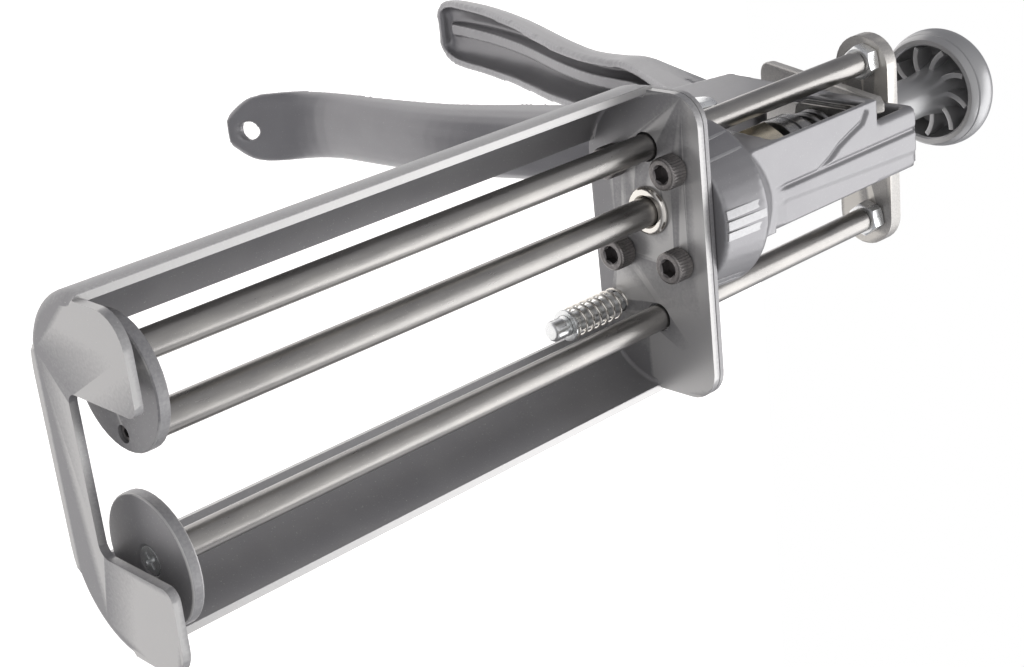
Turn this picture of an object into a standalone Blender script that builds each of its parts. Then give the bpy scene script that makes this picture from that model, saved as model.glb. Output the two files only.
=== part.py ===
"""Two-cartridge caulking gun: a sheet-metal cradle, a cast body with a handle, and a rod carriage.

Units are metres. +X points at the nozzle end, +Y to the user's left and +Z up, with the handle
hanging towards -Z. The pieces are laid out about the drive rod's axis at the front face of the
cradle's rear plate, then the datum moves them so that the frame origin is on the front plate's
outer face, midway between the two cartridges and halfway up the strip below the nozzle slot.
"""

import math

import bmesh
import bpy
from mathutils import Matrix, Vector

MM = 0.001
GAP = 0.3 * MM              # clearance between pieces that rest on each other

# Cradle
CRADLE_LENGTH = 194.0 * MM  # rear plate's front face to the front plate's outer face
SHEET = 2.4 * MM            # thickness of the cradle's sheet
CARTRIDGE_PITCH = 47.8 * MM # between the two cartridge axes
TROUGH_RADIUS = 22.7 * MM   # inside of the arms, round each cartridge
RIGHT_CARTRIDGE_Y = -13.5 * MM
CARTRIDGE_Z = 0.5 * MM
PLATE_RADIUS = 23.8 * MM
PLATE_TOP = 21.5 * MM
PLATE_CORNER = 9.5 * MM
ARM_EDGE_RIGHT = 2.5 * MM   # height of the right arm's upper edge
ARM_EDGE_LEFT = -1.0 * MM
ARM_END_ANGLE = 76.0        # degrees below level where each arm ends
SLOT_WIDTH = 44.4 * MM
SLOT_FLOOR = -8.9 * MM
LOBE_CORNER = 3.5 * MM
BACKING = 1.6 * MM

# Carriage of rods
DRIVE_ROD = 9.0 * MM
GUIDE_ROD = 8.0 * MM
DISC_RADIUS = 18.0 * MM
DISC_THICKNESS = 3.6 * MM
DISC_GAP = 5.4 * MM         # push disc to the front plate's inner face at rest
ROD_RUNNING = 0.6 * MM      # round a rod in its hole
GUIDE_RUNNING = 5.4 * MM    # right guide rod axis to the body's side
STUD = 5.7 * MM
YOKE_THICKNESS = 5.2 * MM
YOKE_RADIUS = 10.3 * MM
YOKE_Z = -1.7 * MM
NUT_FLATS = 10.0 * MM
NUT_HEIGHT = 5.2 * MM
KNOB_RADIUS = 20.5 * MM
KNOB_DOME = 19.0 * MM
KNOB_REACH = 28.0 * MM      # yoke to the knob's rim
KNOB_WALL = 2.6 * MM
KNOB_HUB_WALL = 3.0 * MM
KNOB_RIBS = 9

# Body casting
COLLAR_RADIUS = 27.0 * MM
COLLAR_FRONT_RADIUS = 25.2 * MM
COLLAR_LENGTH = 17.0 * MM
COLLAR_Y = 3.0 * MM
COLLAR_Z = 0.8 * MM
CONE_LENGTH = 12.0 * MM
BODY_HALF = 14.4 * MM
BODY_TOP = 20.5 * MM
BODY_WALL = 2.2 * MM
ROOF = 3.0 * MM
BODY_REAR = -106.5 * MM
WIDE_REAR = -86.0 * MM      # where the body narrows to the brake plate's slot
REAR_BAR_WALL = 2.5 * MM    # right of the drive rod at the rear
END_WALL = 3.5 * MM
PARTITION_REAR = -40.7 * MM
HANDLE_WALL = 3.0 * MM
HANDLE_RIB = 5.0 * MM
TIP_SLOPE = 3.0             # how steeply a lever's hollow rises to the wall at its tip

# Drive mechanism
PIVOT_X = -54.0 * MM
PIVOT_Z = -25.0 * MM
PIVOT_PIN = 6.0 * MM
GLAND_LENGTH = 15.0 * MM
SEAT_LENGTH = 12.0 * MM
SEAT_STEP = 2.4 * MM
SPRING_LENGTH = 20.0 * MM
SPRING_WIRE = 2.0 * MM
GRIP_PLATE = 2.5 * MM
BRAKE_TILT = 19.8           # degrees the brake plate leans at rest
BRAKE_THICKNESS = 3.5 * MM
BRAKE_SPRING_PLACE = 7 / 13 # of the way from the drive rod out to the trigger's fork
BRAKE_X = -96.5 * MM        # where the brake plate crosses the drive rod's axis
TRIGGER_WALL = 3.0 * MM
FORK_WALL = 3.2 * MM
HANG_HOLE = 7.0 * MM
HANG_HOLE_Z = -195.7 * MM
RIVET_HEAD = 10.4 * MM

# Cradle screws and the cartridge holding pin
SCREW_Y = 14.5 * MM
SCREW_Z = 11.6 * MM
SCREW_SHANK = 5.6 * MM
SCREW_HEAD = 10.0 * MM
SCREW_HEAD_HEIGHT = 6.0 * MM
HOLDER_Z = -16.2 * MM
HOLDER_PIN = 6.5 * MM
HOLDER_REACH = 30.0 * MM
HOLDER_SPRING_RADIUS = 4.6 * MM
HOLDER_WIRE = 0.8 * MM

# Places that follow from the sizes above
LEFT_CARTRIDGE_Y = RIGHT_CARTRIDGE_Y + CARTRIDGE_PITCH
GUIDE_LEFT_Y = LEFT_CARTRIDGE_Y
GUIDE_RIGHT_Y = -BODY_HALF - GUIDE_RUNNING
HOLDER_Y = LEFT_CARTRIDGE_Y - 1.8 * MM
CRADLE_MIDDLE_Y = (RIGHT_CARTRIDGE_Y + LEFT_CARTRIDGE_Y) / 2
STRIP_MIDDLE_Z = (SLOT_FLOOR + CARTRIDGE_Z - PLATE_RADIUS) / 2
FRONT_INNER = CRADLE_LENGTH - SHEET
DISC_FRONT = FRONT_INNER - DISC_GAP
DISC_REAR = DISC_FRONT - DISC_THICKNESS
BACKING_FRONT = -SHEET - GAP
BACKING_REAR = BACKING_FRONT - BACKING
COLLAR_FRONT = BACKING_REAR - GAP
COLLAR_REAR = COLLAR_FRONT - COLLAR_LENGTH
YOKE_FRONT = BODY_REAR - 1.3 * MM
YOKE_REAR = YOKE_FRONT - YOKE_THICKNESS
NUT_REAR = YOKE_FRONT + GAP
NUT_FRONT = NUT_REAR + NUT_HEIGHT
HUB_FRONT = YOKE_REAR - GAP
KNOB_RIM = YOKE_REAR - KNOB_REACH
DRIVE_ROD_REAR = KNOB_RIM + 6.0 * MM
CAVITY_HALF = BODY_HALF - BODY_WALL
TRIGGER_HALF = CAVITY_HALF - 0.4 * MM
FORK_OUTER = CAVITY_HALF - 0.6 * MM
FORK_INNER = FORK_OUTER - FORK_WALL
SEAT_RADIUS = CAVITY_HALF - 0.4 * MM
SPRING_RADIUS = SEAT_RADIUS - 2.4 * MM
GLAND_FLATS = 2 * (CAVITY_HALF - 1.2 * MM)
GRIP_HALF = CAVITY_HALF - MM
BRAKE_HALF = BODY_HALF - 0.9 * MM
REAR_BAR_RIGHT = -DRIVE_ROD / 2 - REAR_BAR_WALL
KNOB_HUB = DRIVE_ROD / 2 + KNOB_HUB_WALL
GLAND_FRONT = PARTITION_REAR - GAP
GLAND_REAR = GLAND_FRONT - GLAND_LENGTH
SEAT_FRONT = GLAND_REAR - GAP
SEAT_REAR = SEAT_FRONT - SEAT_LENGTH
SEAT_FLOOR = SEAT_FRONT - 2 * SEAT_STEP
SPRING_FRONT = SEAT_FLOOR - GAP
SPRING_REAR = SPRING_FRONT - SPRING_LENGTH
GRIP_FRONT = SPRING_REAR - GAP
GRIP_REAR = GRIP_FRONT - 2 * GRIP_PLATE - GAP
FORK_FRONT = GRIP_REAR - 0.5 * MM


# ---------------------------------------------------------------- scene and materials

def clear_scene():
    for item in list(bpy.data.objects):
        bpy.data.objects.remove(item, do_unlink=True)


def finish(name, colour, metallic, roughness):
    """A plain Principled material."""
    material = bpy.data.materials.new(name)
    material.use_nodes = True
    shader = material.node_tree.nodes["Principled BSDF"]
    shader.inputs["Base Color"].default_value = (*colour, 1.0)
    shader.inputs["Metallic"].default_value = metallic
    shader.inputs["Roughness"].default_value = roughness
    return material


# ---------------------------------------------------------------- outlines

def arc(centre, radius, start, end, steps=12):
    """Points on an arc between two angles in degrees, from +first axis to +second axis."""
    points = []
    for step in range(steps + 1):
        angle = math.radians(start + (end - start) * step / steps)
        points.append((centre[0] + radius * math.cos(angle), centre[1] + radius * math.sin(angle)))
    return points


def plate_sides():
    """The rounded left and right ends that the rear and front plates share, as (y, z) points."""
    corner_z = PLATE_TOP - PLATE_CORNER
    right_y = RIGHT_CARTRIDGE_Y - PLATE_RADIUS
    left_y = LEFT_CARTRIDGE_Y + PLATE_RADIUS
    right = arc((RIGHT_CARTRIDGE_Y, CARTRIDGE_Z), PLATE_RADIUS, 270, 180)
    right += arc((right_y + PLATE_CORNER, corner_z), PLATE_CORNER, 180, 90, 8)
    left = arc((left_y - PLATE_CORNER, corner_z), PLATE_CORNER, 90, 0, 8)
    left += arc((LEFT_CARTRIDGE_Y, CARTRIDGE_Z), PLATE_RADIUS, 0, -90)
    return right, left


def rear_outline():
    right, left = plate_sides()
    return right + left


def front_outline():
    """The front plate's C shape, open upwards between the two lobes."""
    right, left = plate_sides()
    slot_right = CRADLE_MIDDLE_Y - SLOT_WIDTH / 2
    slot_left = CRADLE_MIDDLE_Y + SLOT_WIDTH / 2
    tip_z = PLATE_TOP - LOBE_CORNER
    floor_z = SLOT_FLOOR + LOBE_CORNER
    slot = arc((slot_right - LOBE_CORNER, tip_z), LOBE_CORNER, 90, 0, 6)
    slot += arc((slot_right + LOBE_CORNER, floor_z), LOBE_CORNER, 180, 270, 6)
    slot += arc((slot_left - LOBE_CORNER, floor_z), LOBE_CORNER, 270, 360, 6)
    slot += arc((slot_left + LOBE_CORNER, tip_z), LOBE_CORNER, 180, 90, 6)
    return right + slot + left


def arm_outline(side):
    """Section of one arm: a curved strip round its cartridge; side is -1 right, +1 left."""
    centre_y = RIGHT_CARTRIDGE_Y if side < 0 else LEFT_CARTRIDGE_Y
    edge = ARM_EDGE_RIGHT if side < 0 else ARM_EDGE_LEFT
    lift = math.degrees(math.asin((edge - CARTRIDGE_Z) / TROUGH_RADIUS))
    outer = arc((0, CARTRIDGE_Z), TROUGH_RADIUS + SHEET, lift, -ARM_END_ANGLE, 18)
    inner = arc((0, CARTRIDGE_Z), TROUGH_RADIUS, -ARM_END_ANGLE, lift, 18)
    return [(centre_y + side * y, z) for y, z in outer + inner]


def rounded_box(y0, y1, z0, z1, radius, steps=5):
    points = arc((y1 - radius, z1 - radius), radius, 0, 90, steps)
    points += arc((y0 + radius, z1 - radius), radius, 90, 180, steps)
    points += arc((y0 + radius, z0 + radius), radius, 180, 270, steps)
    points += arc((y1 - radius, z0 + radius), radius, 270, 360, steps)
    return points


# ---------------------------------------------------------------- solids

def close(bm):
    bmesh.ops.remove_doubles(bm, verts=bm.verts, dist=1e-7)
    bmesh.ops.recalc_face_normals(bm, faces=bm.faces)
    return bm


def prism(points, low, high, axis="X"):
    """Extrude an outline along an axis: (y, z) points along X, or (x, z) points along Y."""
    bm = bmesh.new()
    if axis == "X":
        verts = [bm.verts.new((low, a, b)) for a, b in points]
        shift = Vector((high - low, 0, 0))
    else:
        verts = [bm.verts.new((a, low, b)) for a, b in points]
        shift = Vector((0, high - low, 0))
    face = bm.faces.new(verts)
    grown = bmesh.ops.extrude_face_region(bm, geom=[face])
    moved = [item for item in grown["geom"] if isinstance(item, bmesh.types.BMVert)]
    bmesh.ops.translate(bm, verts=moved, vec=shift)
    return close(bm)


def turned(profile, y=0.0, z=0.0, steps=28):
    """Turn a closed (x, radius) loop about an axis parallel to X."""
    bm = bmesh.new()
    rings = []
    for x, radius in profile:
        if radius < 1e-7:
            rings.append([bm.verts.new((x, y, z))])
            continue
        ring = []
        for step in range(steps):
            angle = 2 * math.pi * step / steps
            ring.append(bm.verts.new((x, y + radius * math.cos(angle), z + radius * math.sin(angle))))
        rings.append(ring)
    for index, ring in enumerate(rings):
        following = rings[(index + 1) % len(rings)]
        if len(ring) == 1 and len(following) == 1:
            continue
        for step in range(steps):
            after = (step + 1) % steps
            if len(ring) == 1:
                bm.faces.new((ring[0], following[step], following[after]))
            elif len(following) == 1:
                bm.faces.new((ring[step], ring[after], following[0]))
            else:
                bm.faces.new((ring[step], ring[after], following[after], following[step]))
    return close(bm)


def cylinder(x0, x1, radius, y=0.0, z=0.0, steps=28):
    return turned([(x0, 0), (x0, radius), (x1, radius), (x1, 0)], y, z, steps)


def ring(x0, x1, outer, inner, y=0.0, z=0.0, steps=28):
    return turned([(x0, inner), (x0, outer), (x1, outer), (x1, inner)], y, z, steps)


def cross_cylinder(x, z, y0, y1, radius, steps=24):
    """A cylinder along Y."""
    return prism(arc((x, z), radius, 0, 360 * (steps - 1) / steps, steps - 1), y0, y1, "Y")


def hexagon(x0, x1, flats, y=0.0, z=0.0, turn=30.0):
    return prism(arc((y, z), flats / math.sqrt(3), turn, turn + 300, 5), x0, x1)


def coil(x0, x1, radius, wire, turns, y=0.0, z=0.0, sides=8, steps_per_turn=20):
    """A helical spring along X with flat capped ends, inside the space from x0 to x1."""
    bm = bmesh.new()
    start = x0 + wire / 2
    length = (x1 - x0) - wire
    total = int(turns * steps_per_turn)
    pitch_angle = math.atan2(length / turns, 2 * math.pi * radius)
    rings = []
    for step in range(total + 1):
        angle = 2 * math.pi * turns * step / total
        outward = Vector((0, math.cos(angle), math.sin(angle)))
        along = Vector((math.sin(pitch_angle), -math.sin(angle) * math.cos(pitch_angle),
                        math.cos(angle) * math.cos(pitch_angle)))
        across = along.cross(outward)
        centre = Vector((start + length * step / total, y, z)) + outward * radius
        section = []
        for side in range(sides):
            turn = 2 * math.pi * side / sides
            spoke = outward * math.cos(turn) + across * math.sin(turn)
            section.append(bm.verts.new(centre + spoke * wire / 2))
        rings.append(section)
    for first, second in zip(rings, rings[1:]):
        for side in range(sides):
            after = (side + 1) % sides
            bm.faces.new((first[side], first[after], second[after], second[side]))
    bm.faces.new(rings[0])
    bm.faces.new(rings[-1])
    return close(bm)


def channel(stations, wall, fullness=2.8, steps=12):
    """A tapering U-section along Z, closed at its tip; a station is (z, web x, open-edge x, half)."""
    bm = bmesh.new()
    rings = []
    tip = stations[-1][0]
    for z, web, edge, half in stations:
        way = 1 if web > edge else -1
        depth = min(abs(web - edge) - wall, TIP_SLOPE * (z - tip - wall))
        inner_web = edge + way * max(depth, 0.3 * MM)
        inner_half = max(half - wall, 0.3 * half)
        section = []
        for reach, width, order in ((web, half, 1), (inner_web, inner_half, -1)):
            loop = []
            for step in range(steps + 1):
                angle = math.radians(-90 + 180 * step / steps)
                sine, cosine = math.sin(angle), max(math.cos(angle), 0.0)
                across = math.copysign(abs(sine) ** (2 / fullness), sine)
                loop.append((edge + (reach - edge) * cosine ** (2 / fullness), width * across))
            section += loop[::order]
        rings.append([bm.verts.new((x, y, z)) for x, y in section])
    for first, second in zip(rings, rings[1:]):
        for index in range(len(first)):
            after = (index + 1) % len(first)
            bm.faces.new((first[index], first[after], second[after], second[index]))
    for end in (rings[0], rings[-1]):
        half = len(end) // 2
        for index in range(half - 1):
            bm.faces.new((end[index], end[index + 1], end[-2 - index], end[-1 - index]))
    return close(bm)


# ---------------------------------------------------------------- objects

def place(name, bm, material, smooth=True):
    """Turn a solid into a named object with its material."""
    mesh = bpy.data.meshes.new(name)
    bm.to_mesh(mesh)
    bm.free()
    mesh.materials.append(material)
    if smooth:
        mesh.shade_smooth()
        mesh.set_sharp_from_angle(angle=math.radians(35))
    item = bpy.data.objects.new(name, mesh)
    bpy.context.scene.collection.objects.link(item)
    return item


def combine(item, bm, operation):
    """Add a Boolean modifier that reads a hidden helper solid."""
    tool = place(item.name + "_tool", bm, item.data.materials[0], smooth=False)
    tool.hide_render = True
    tool.display_type = "WIRE"
    modifier = item.modifiers.new(operation.title(), "BOOLEAN")
    modifier.object = tool
    modifier.operation = operation
    modifier.solver = "EXACT"
    return item


def cut(item, bm):
    return combine(item, bm, "DIFFERENCE")


def join(item, bm):
    return combine(item, bm, "UNION")


def set_origin(item, point):
    """Move an object's origin to a point without moving its surface."""
    item.data.transform(Matrix.Translation(-Vector(point)))
    item.location = point


# ---------------------------------------------------------------- cradle

def rod_holes(item, front, rear):
    """Running holes for the guide rods, screws, bushing and holding pin in a plate."""
    for y in (GUIDE_RIGHT_Y, GUIDE_LEFT_Y):
        cut(item, cylinder(rear - MM, front + MM, GUIDE_ROD / 2 + ROD_RUNNING, y, CARTRIDGE_Z, 20))
    for y in (-SCREW_Y, SCREW_Y):
        for z in (-SCREW_Z, SCREW_Z):
            cut(item, cylinder(rear - MM, front + MM, SCREW_SHANK / 2 + GAP, y, z, 16))
    cut(item, cylinder(rear - MM, front + MM, DRIVE_ROD / 2 + 1.8 * MM, 0, 0, 24))
    cut(item, cylinder(rear - MM, front + MM, HOLDER_PIN / 2 + GAP, HOLDER_Y, HOLDER_Z, 20))


def build_cradle(paint):
    frame = place("cradle_frame", prism(front_outline(), FRONT_INNER, CRADLE_LENGTH), paint)
    for side in (-1, 1):
        join(frame, prism(arm_outline(side), -SHEET, CRADLE_LENGTH))
    join(frame, prism(rear_outline(), -SHEET, 0))
    rod_holes(frame, 0, -SHEET)
    backing = place("backing_plate", prism(rear_outline(), BACKING_REAR, BACKING_FRONT), paint)
    rod_holes(backing, BACKING_FRONT, BACKING_REAR)


def build_cradle_screws(oxide):
    """Four socket-head cap screws that hold the cradle to the casting."""
    number = 1
    for y in (-SCREW_Y, SCREW_Y):
        for z in (-SCREW_Z, SCREW_Z):
            top = GAP + SCREW_HEAD_HEIGHT
            edge = 0.5 * MM
            tip = COLLAR_FRONT - 10 * MM
            profile = [(tip, 0), (tip, SCREW_SHANK / 2), (GAP, SCREW_SHANK / 2), (GAP, SCREW_HEAD / 2),
                       (top - edge, SCREW_HEAD / 2), (top, SCREW_HEAD / 2 - edge), (top, 0)]
            screw = place("cradle_screw_%d" % number, turned(profile, y, z, 24), oxide)
            cut(screw, hexagon(top - 3 * MM, top + MM, 5 * MM, y, z))
            number += 1


def build_holder_pin(zinc, wire):
    """The sprung pin that presses a cartridge forward, with its collar, spring and rear clip."""
    groove = 0.8 * MM
    tail = BACKING_REAR - 3 * MM
    radius = HOLDER_PIN / 2
    head = HOLDER_REACH
    profile = [(tail, 0), (tail, radius), (head - 6 * MM, radius), (head - 6 * MM, radius - groove),
               (head - 5 * MM, radius - groove), (head - 5 * MM, radius), (head - 0.6 * MM, radius),
               (head, radius - 0.6 * MM), (head, 0)]
    place("holder_pin", turned(profile, HOLDER_Y, HOLDER_Z, 24), zinc)
    seat = head - 6.3 * MM
    outer = HOLDER_SPRING_RADIUS + HOLDER_WIRE / 2
    place("holder_collar", ring(seat - MM, seat, outer, radius + GAP / 2, HOLDER_Y, HOLDER_Z, 24), zinc)
    place("holder_spring", coil(GAP, seat - MM - GAP, HOLDER_SPRING_RADIUS, HOLDER_WIRE, 7,
                                HOLDER_Y, HOLDER_Z, 5, 14), wire)
    clip = BACKING_REAR - GAP
    place("holder_clip", ring(clip - MM, clip, radius + 1.8 * MM, radius + GAP / 2,
                              HOLDER_Y, HOLDER_Z, 24), zinc)


# ---------------------------------------------------------------- body casting

# Handle stations in mm from the body down to the end: height, rear web, front edges, and how much
# wider than the body each side is.
HANDLE_STATIONS = [(-38, -93, -60, -1.0), (-63, -102, -75, -1.4), (-84, -110, -87, -1.8),
                   (-98, -115, -93, -1.8), (-107, -115, -95, -2.6), (-125, -115, -98, -3.0),
                   (-150, -123, -106, -2.2), (-183, -136, -120, -1.0), (-210, -143.5, -129, -0.2),
                   (-228, -146.5, -133, 0.0), (-238, -147, -135.5, -0.4), (-244, -146, -137, -1.8),
                   (-248.5, -144.5, -138, -5.0), (-250.5, -143, -138.5, -9.0)]


def in_metres(stations, half):
    """A station table in metres, its last value turned into a half-width."""
    return [(z * MM, web * MM, edge * MM, half + wider * MM) for z, web, edge, wider in stations]


def flowing(stations, between=3):
    """A station table with stations added on smooth curves through the given ones."""
    ends = [stations[0]] + stations + [stations[-1]]
    points = []
    for index in range(len(stations) - 1):
        before, here, there, after = ends[index:index + 4]
        for step in range(between):
            t = step / between
            points.append(tuple(
                b + 0.5 * t * (c - a + t * (2 * a - 5 * b + 4 * c - d + t * (3 * (b - c) + d - a)))
                for a, b, c, d in zip(before, here, there, after)))
    return points + [stations[-1]]


def handle_rib_outline():
    """Side view of the rib that runs down the middle of the open handle."""
    spine = flowing(in_metres(HANDLE_STATIONS[1:-2], BODY_HALF))
    back = [(web + 1.5 * MM, z) for z, web, edge, half in spine]
    face = [(edge - 0.35 * (edge - web), z) for z, web, edge, half in spine]
    return back + face[::-1]


def build_casting(paint):
    """One aluminium casting: collar, body with its openings, and the fixed handle."""
    cone_end = COLLAR_REAR - CONE_LENGTH
    profile = [(COLLAR_FRONT, 0), (COLLAR_FRONT, COLLAR_FRONT_RADIUS),
               (COLLAR_REAR, COLLAR_RADIUS), (cone_end, BODY_HALF + 4 * MM), (cone_end, 0)]
    body = place("body_casting", turned(profile, COLLAR_Y, COLLAR_Z, 44), paint)
    side = [(COLLAR_REAR + 2 * MM, BODY_TOP), (WIDE_REAR, BODY_TOP), (WIDE_REAR - 3 * MM, -20 * MM),
            (WIDE_REAR - 6 * MM, -45 * MM), (-62 * MM, -52 * MM), (-46 * MM, -38 * MM),
            (COLLAR_REAR - 10 * MM, -26 * MM), (COLLAR_REAR + 2 * MM, -24 * MM)]
    join(body, prism(side, -BODY_HALF, BODY_HALF, "Y"))
    bar = rounded_box(REAR_BAR_RIGHT, BODY_HALF, -11 * MM, BODY_TOP, 2.5 * MM)
    join(body, prism(bar, BODY_REAR, WIDE_REAR + 4 * MM))
    join(body, channel(flowing(in_metres(HANDLE_STATIONS, BODY_HALF)), HANDLE_WALL))
    join(body, prism(handle_rib_outline(), -HANDLE_RIB / 2, HANDLE_RIB / 2, "Y"))

    ceiling = BODY_TOP - ROOF
    inside = [(PARTITION_REAR, ceiling), (-120 * MM, ceiling), (-120 * MM, -14 * MM),
              (WIDE_REAR - 1 * MM, -30 * MM), (WIDE_REAR + 1 * MM, -60 * MM), (-24 * MM, -60 * MM),
              (-31 * MM, -25 * MM), (PARTITION_REAR, -15 * MM)]
    end_wall = BODY_REAR + END_WALL
    cavity = [(max(x, end_wall), z) for x, z in inside]
    cut(body, prism(cavity, -CAVITY_HALF, CAVITY_HALF, "Y"))
    cut(body, prism([(end_wall, ceiling - 3 * MM), (WIDE_REAR - 2 * MM, ceiling - 3 * MM),
                     (WIDE_REAR - 2 * MM, -20 * MM), (end_wall, -20 * MM)],
                    -BODY_HALF - MM, BODY_HALF + MM, "Y"))
    window = [(PARTITION_REAR + 4 * MM, BODY_TOP - 2.4 * MM), (WIDE_REAR + 4 * MM, BODY_TOP - 2.4 * MM),
              (WIDE_REAR + 4 * MM, -9 * MM), (-74 * MM, -13 * MM), (PARTITION_REAR, -13 * MM)]
    cut(body, prism(window, -BODY_HALF - MM, -CAVITY_HALF + 2 * MM, "Y"))

    running = DRIVE_ROD / 2 + ROD_RUNNING
    cut(body, cylinder(BODY_REAR - MM, COLLAR_FRONT + MM, running, 0, 0, 20))
    cut(body, cylinder(COLLAR_FRONT - 12.3 * MM, COLLAR_FRONT + MM, running + 1.2 * MM, 0, 0, 24))
    cut(body, cylinder(BODY_REAR - MM, end_wall + MM, running + 1.2 * MM, 0, 0, 24))
    for y in (-SCREW_Y, SCREW_Y):
        for z in (-SCREW_Z, SCREW_Z):
            cut(body, cylinder(COLLAR_FRONT - 11 * MM, COLLAR_FRONT + MM, SCREW_SHANK / 2 + GAP, y, z, 12))
    for y in (GUIDE_RIGHT_Y, GUIDE_LEFT_Y):
        cut(body, cylinder(-70 * MM, COLLAR_FRONT + MM, GUIDE_ROD / 2 + 2 * ROD_RUNNING, y, CARTRIDGE_Z, 20))
    cut(body, cross_cylinder(PIVOT_X, PIVOT_Z, -BODY_HALF - MM, BODY_HALF + MM, PIVOT_PIN / 2 + GAP))


def build_bushings(nickel):
    bore = DRIVE_ROD / 2 + 0.2 * MM
    sleeve = DRIVE_ROD / 2 + 1.5 * MM
    rear = COLLAR_FRONT - 12 * MM
    profile = [(rear, bore), (rear, sleeve), (GAP, sleeve), (GAP, sleeve + 1.5 * MM),
               (1.5 * MM, sleeve + 1.5 * MM), (1.8 * MM, sleeve + 1.2 * MM), (1.8 * MM, bore)]
    place("front_bushing", turned(profile), nickel)
    place("rear_bushing", ring(BODY_REAR - 0.3 * MM, BODY_REAR + END_WALL, sleeve, bore), nickel)


# ---------------------------------------------------------------- drive mechanism

def build_drive(brass, black, dark):
    bore = DRIVE_ROD / 2 + ROD_RUNNING
    nut = place("gland_nut", hexagon(GLAND_REAR, GLAND_FRONT, GLAND_FLATS), brass, smooth=False)
    cut(nut, cylinder(GLAND_REAR - MM, GLAND_FRONT + MM, bore))
    step = SEAT_FRONT - SEAT_STEP
    inside = SPRING_RADIUS + SPRING_WIRE / 2 + GAP
    nose = SEAT_RADIUS - 2.8 * MM
    cup = [(SEAT_REAR, inside), (SEAT_REAR, SEAT_RADIUS), (step, SEAT_RADIUS), (step, nose),
           (SEAT_FRONT, nose), (SEAT_FRONT, bore), (SEAT_FLOOR, bore), (SEAT_FLOOR, inside)]
    place("spring_cup", turned(cup), black)
    place("drive_spring", coil(SPRING_REAR, SPRING_FRONT, SPRING_RADIUS, SPRING_WIRE, 4, sides=6,
                               steps_per_turn=16), black)
    outline = rounded_box(-GRIP_HALF, GRIP_HALF, -9.5 * MM, 13 * MM, 3 * MM)
    for name, front in (("grip_plate_front", GRIP_FRONT), ("grip_plate_rear", GRIP_FRONT - GRIP_PLATE - GAP)):
        plate = place(name, prism(outline, front - GRIP_PLATE, front), dark)
        cut(plate, cylinder(front - GRIP_PLATE - MM, front + MM, bore))
        set_origin(plate, (front, 0, 0))


def build_brake(black, dark):
    """The tilted plate that locks the drive rod, with its ear, thumb tab and spring."""
    low, waist, shoulder, top = -52 * MM, -18 * MM, 13.5 * MM, 20 * MM
    ear = REAR_BAR_RIGHT - 0.8 * MM
    tab = BRAKE_HALF - 5 * MM
    outline = [(BRAKE_HALF, waist), (BRAKE_HALF, shoulder), (ear, shoulder), (ear, top - 2 * MM),
               (ear - MM, top), (-BRAKE_HALF + 2 * MM, top), (-BRAKE_HALF, top - 2 * MM)]
    outline += arc((-tab, low + 6 * MM), BRAKE_HALF - tab, 180, 270, 5)
    outline += arc((tab, low + 6 * MM), BRAKE_HALF - tab, 270, 360, 5)
    plate = place("brake_plate", prism(outline, -BRAKE_THICKNESS / 2, BRAKE_THICKNESS / 2), dark)
    reach = BRAKE_THICKNESS
    cut(plate, cylinder(-reach, reach, DRIVE_ROD / 2 + 1.6 * MM, 0, 0, 24))
    fulcrum = Vector((0, 0, 16 * MM))
    lean = Matrix.Rotation(math.radians(BRAKE_TILT), 4, "Y")
    for mesh in [plate.data] + [m.object.data for m in plate.modifiers]:
        mesh.transform(Matrix.Translation(-fulcrum))
    place_at = Vector((BRAKE_X, 0, 0)) + lean @ fulcrum
    for item in [plate] + [m.object for m in plate.modifiers]:
        item.rotation_euler = (0, math.radians(BRAKE_TILT), 0)
        item.location = place_at
    seat = GRIP_REAR - 0.7 * MM
    radius = DRIVE_ROD / 2 + BRAKE_SPRING_PLACE * (FORK_INNER - DRIVE_ROD / 2)
    place("brake_spring", coil(seat - 3.6 * MM, seat, radius, 0.9 * MM, 2, 0, 0, 6, 16), black)


# Trigger stations in mm from the pivot down to the tip: height, front web, rear edges, and how
# much wider than the fork's ears each side is.
TRIGGER_STATIONS = [(-36, -36, -60, -0.2), (-52, -29, -54, 0.0), (-70, -22.5, -47, 0.2),
                    (-87, -17, -40, 0.2), (-104, -12.5, -32, 0.2), (-121, -10, -26, 0.2),
                    (-148, -9, -21, 0.2), (-167, -9, -18, 0.4), (-180, -5, -13.5, 1.0),
                    (-190, 1.5, -5, 1.4), (-197, 6.5, 1, 0.0), (-202.5, 10, 5, -5.2)]


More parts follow.
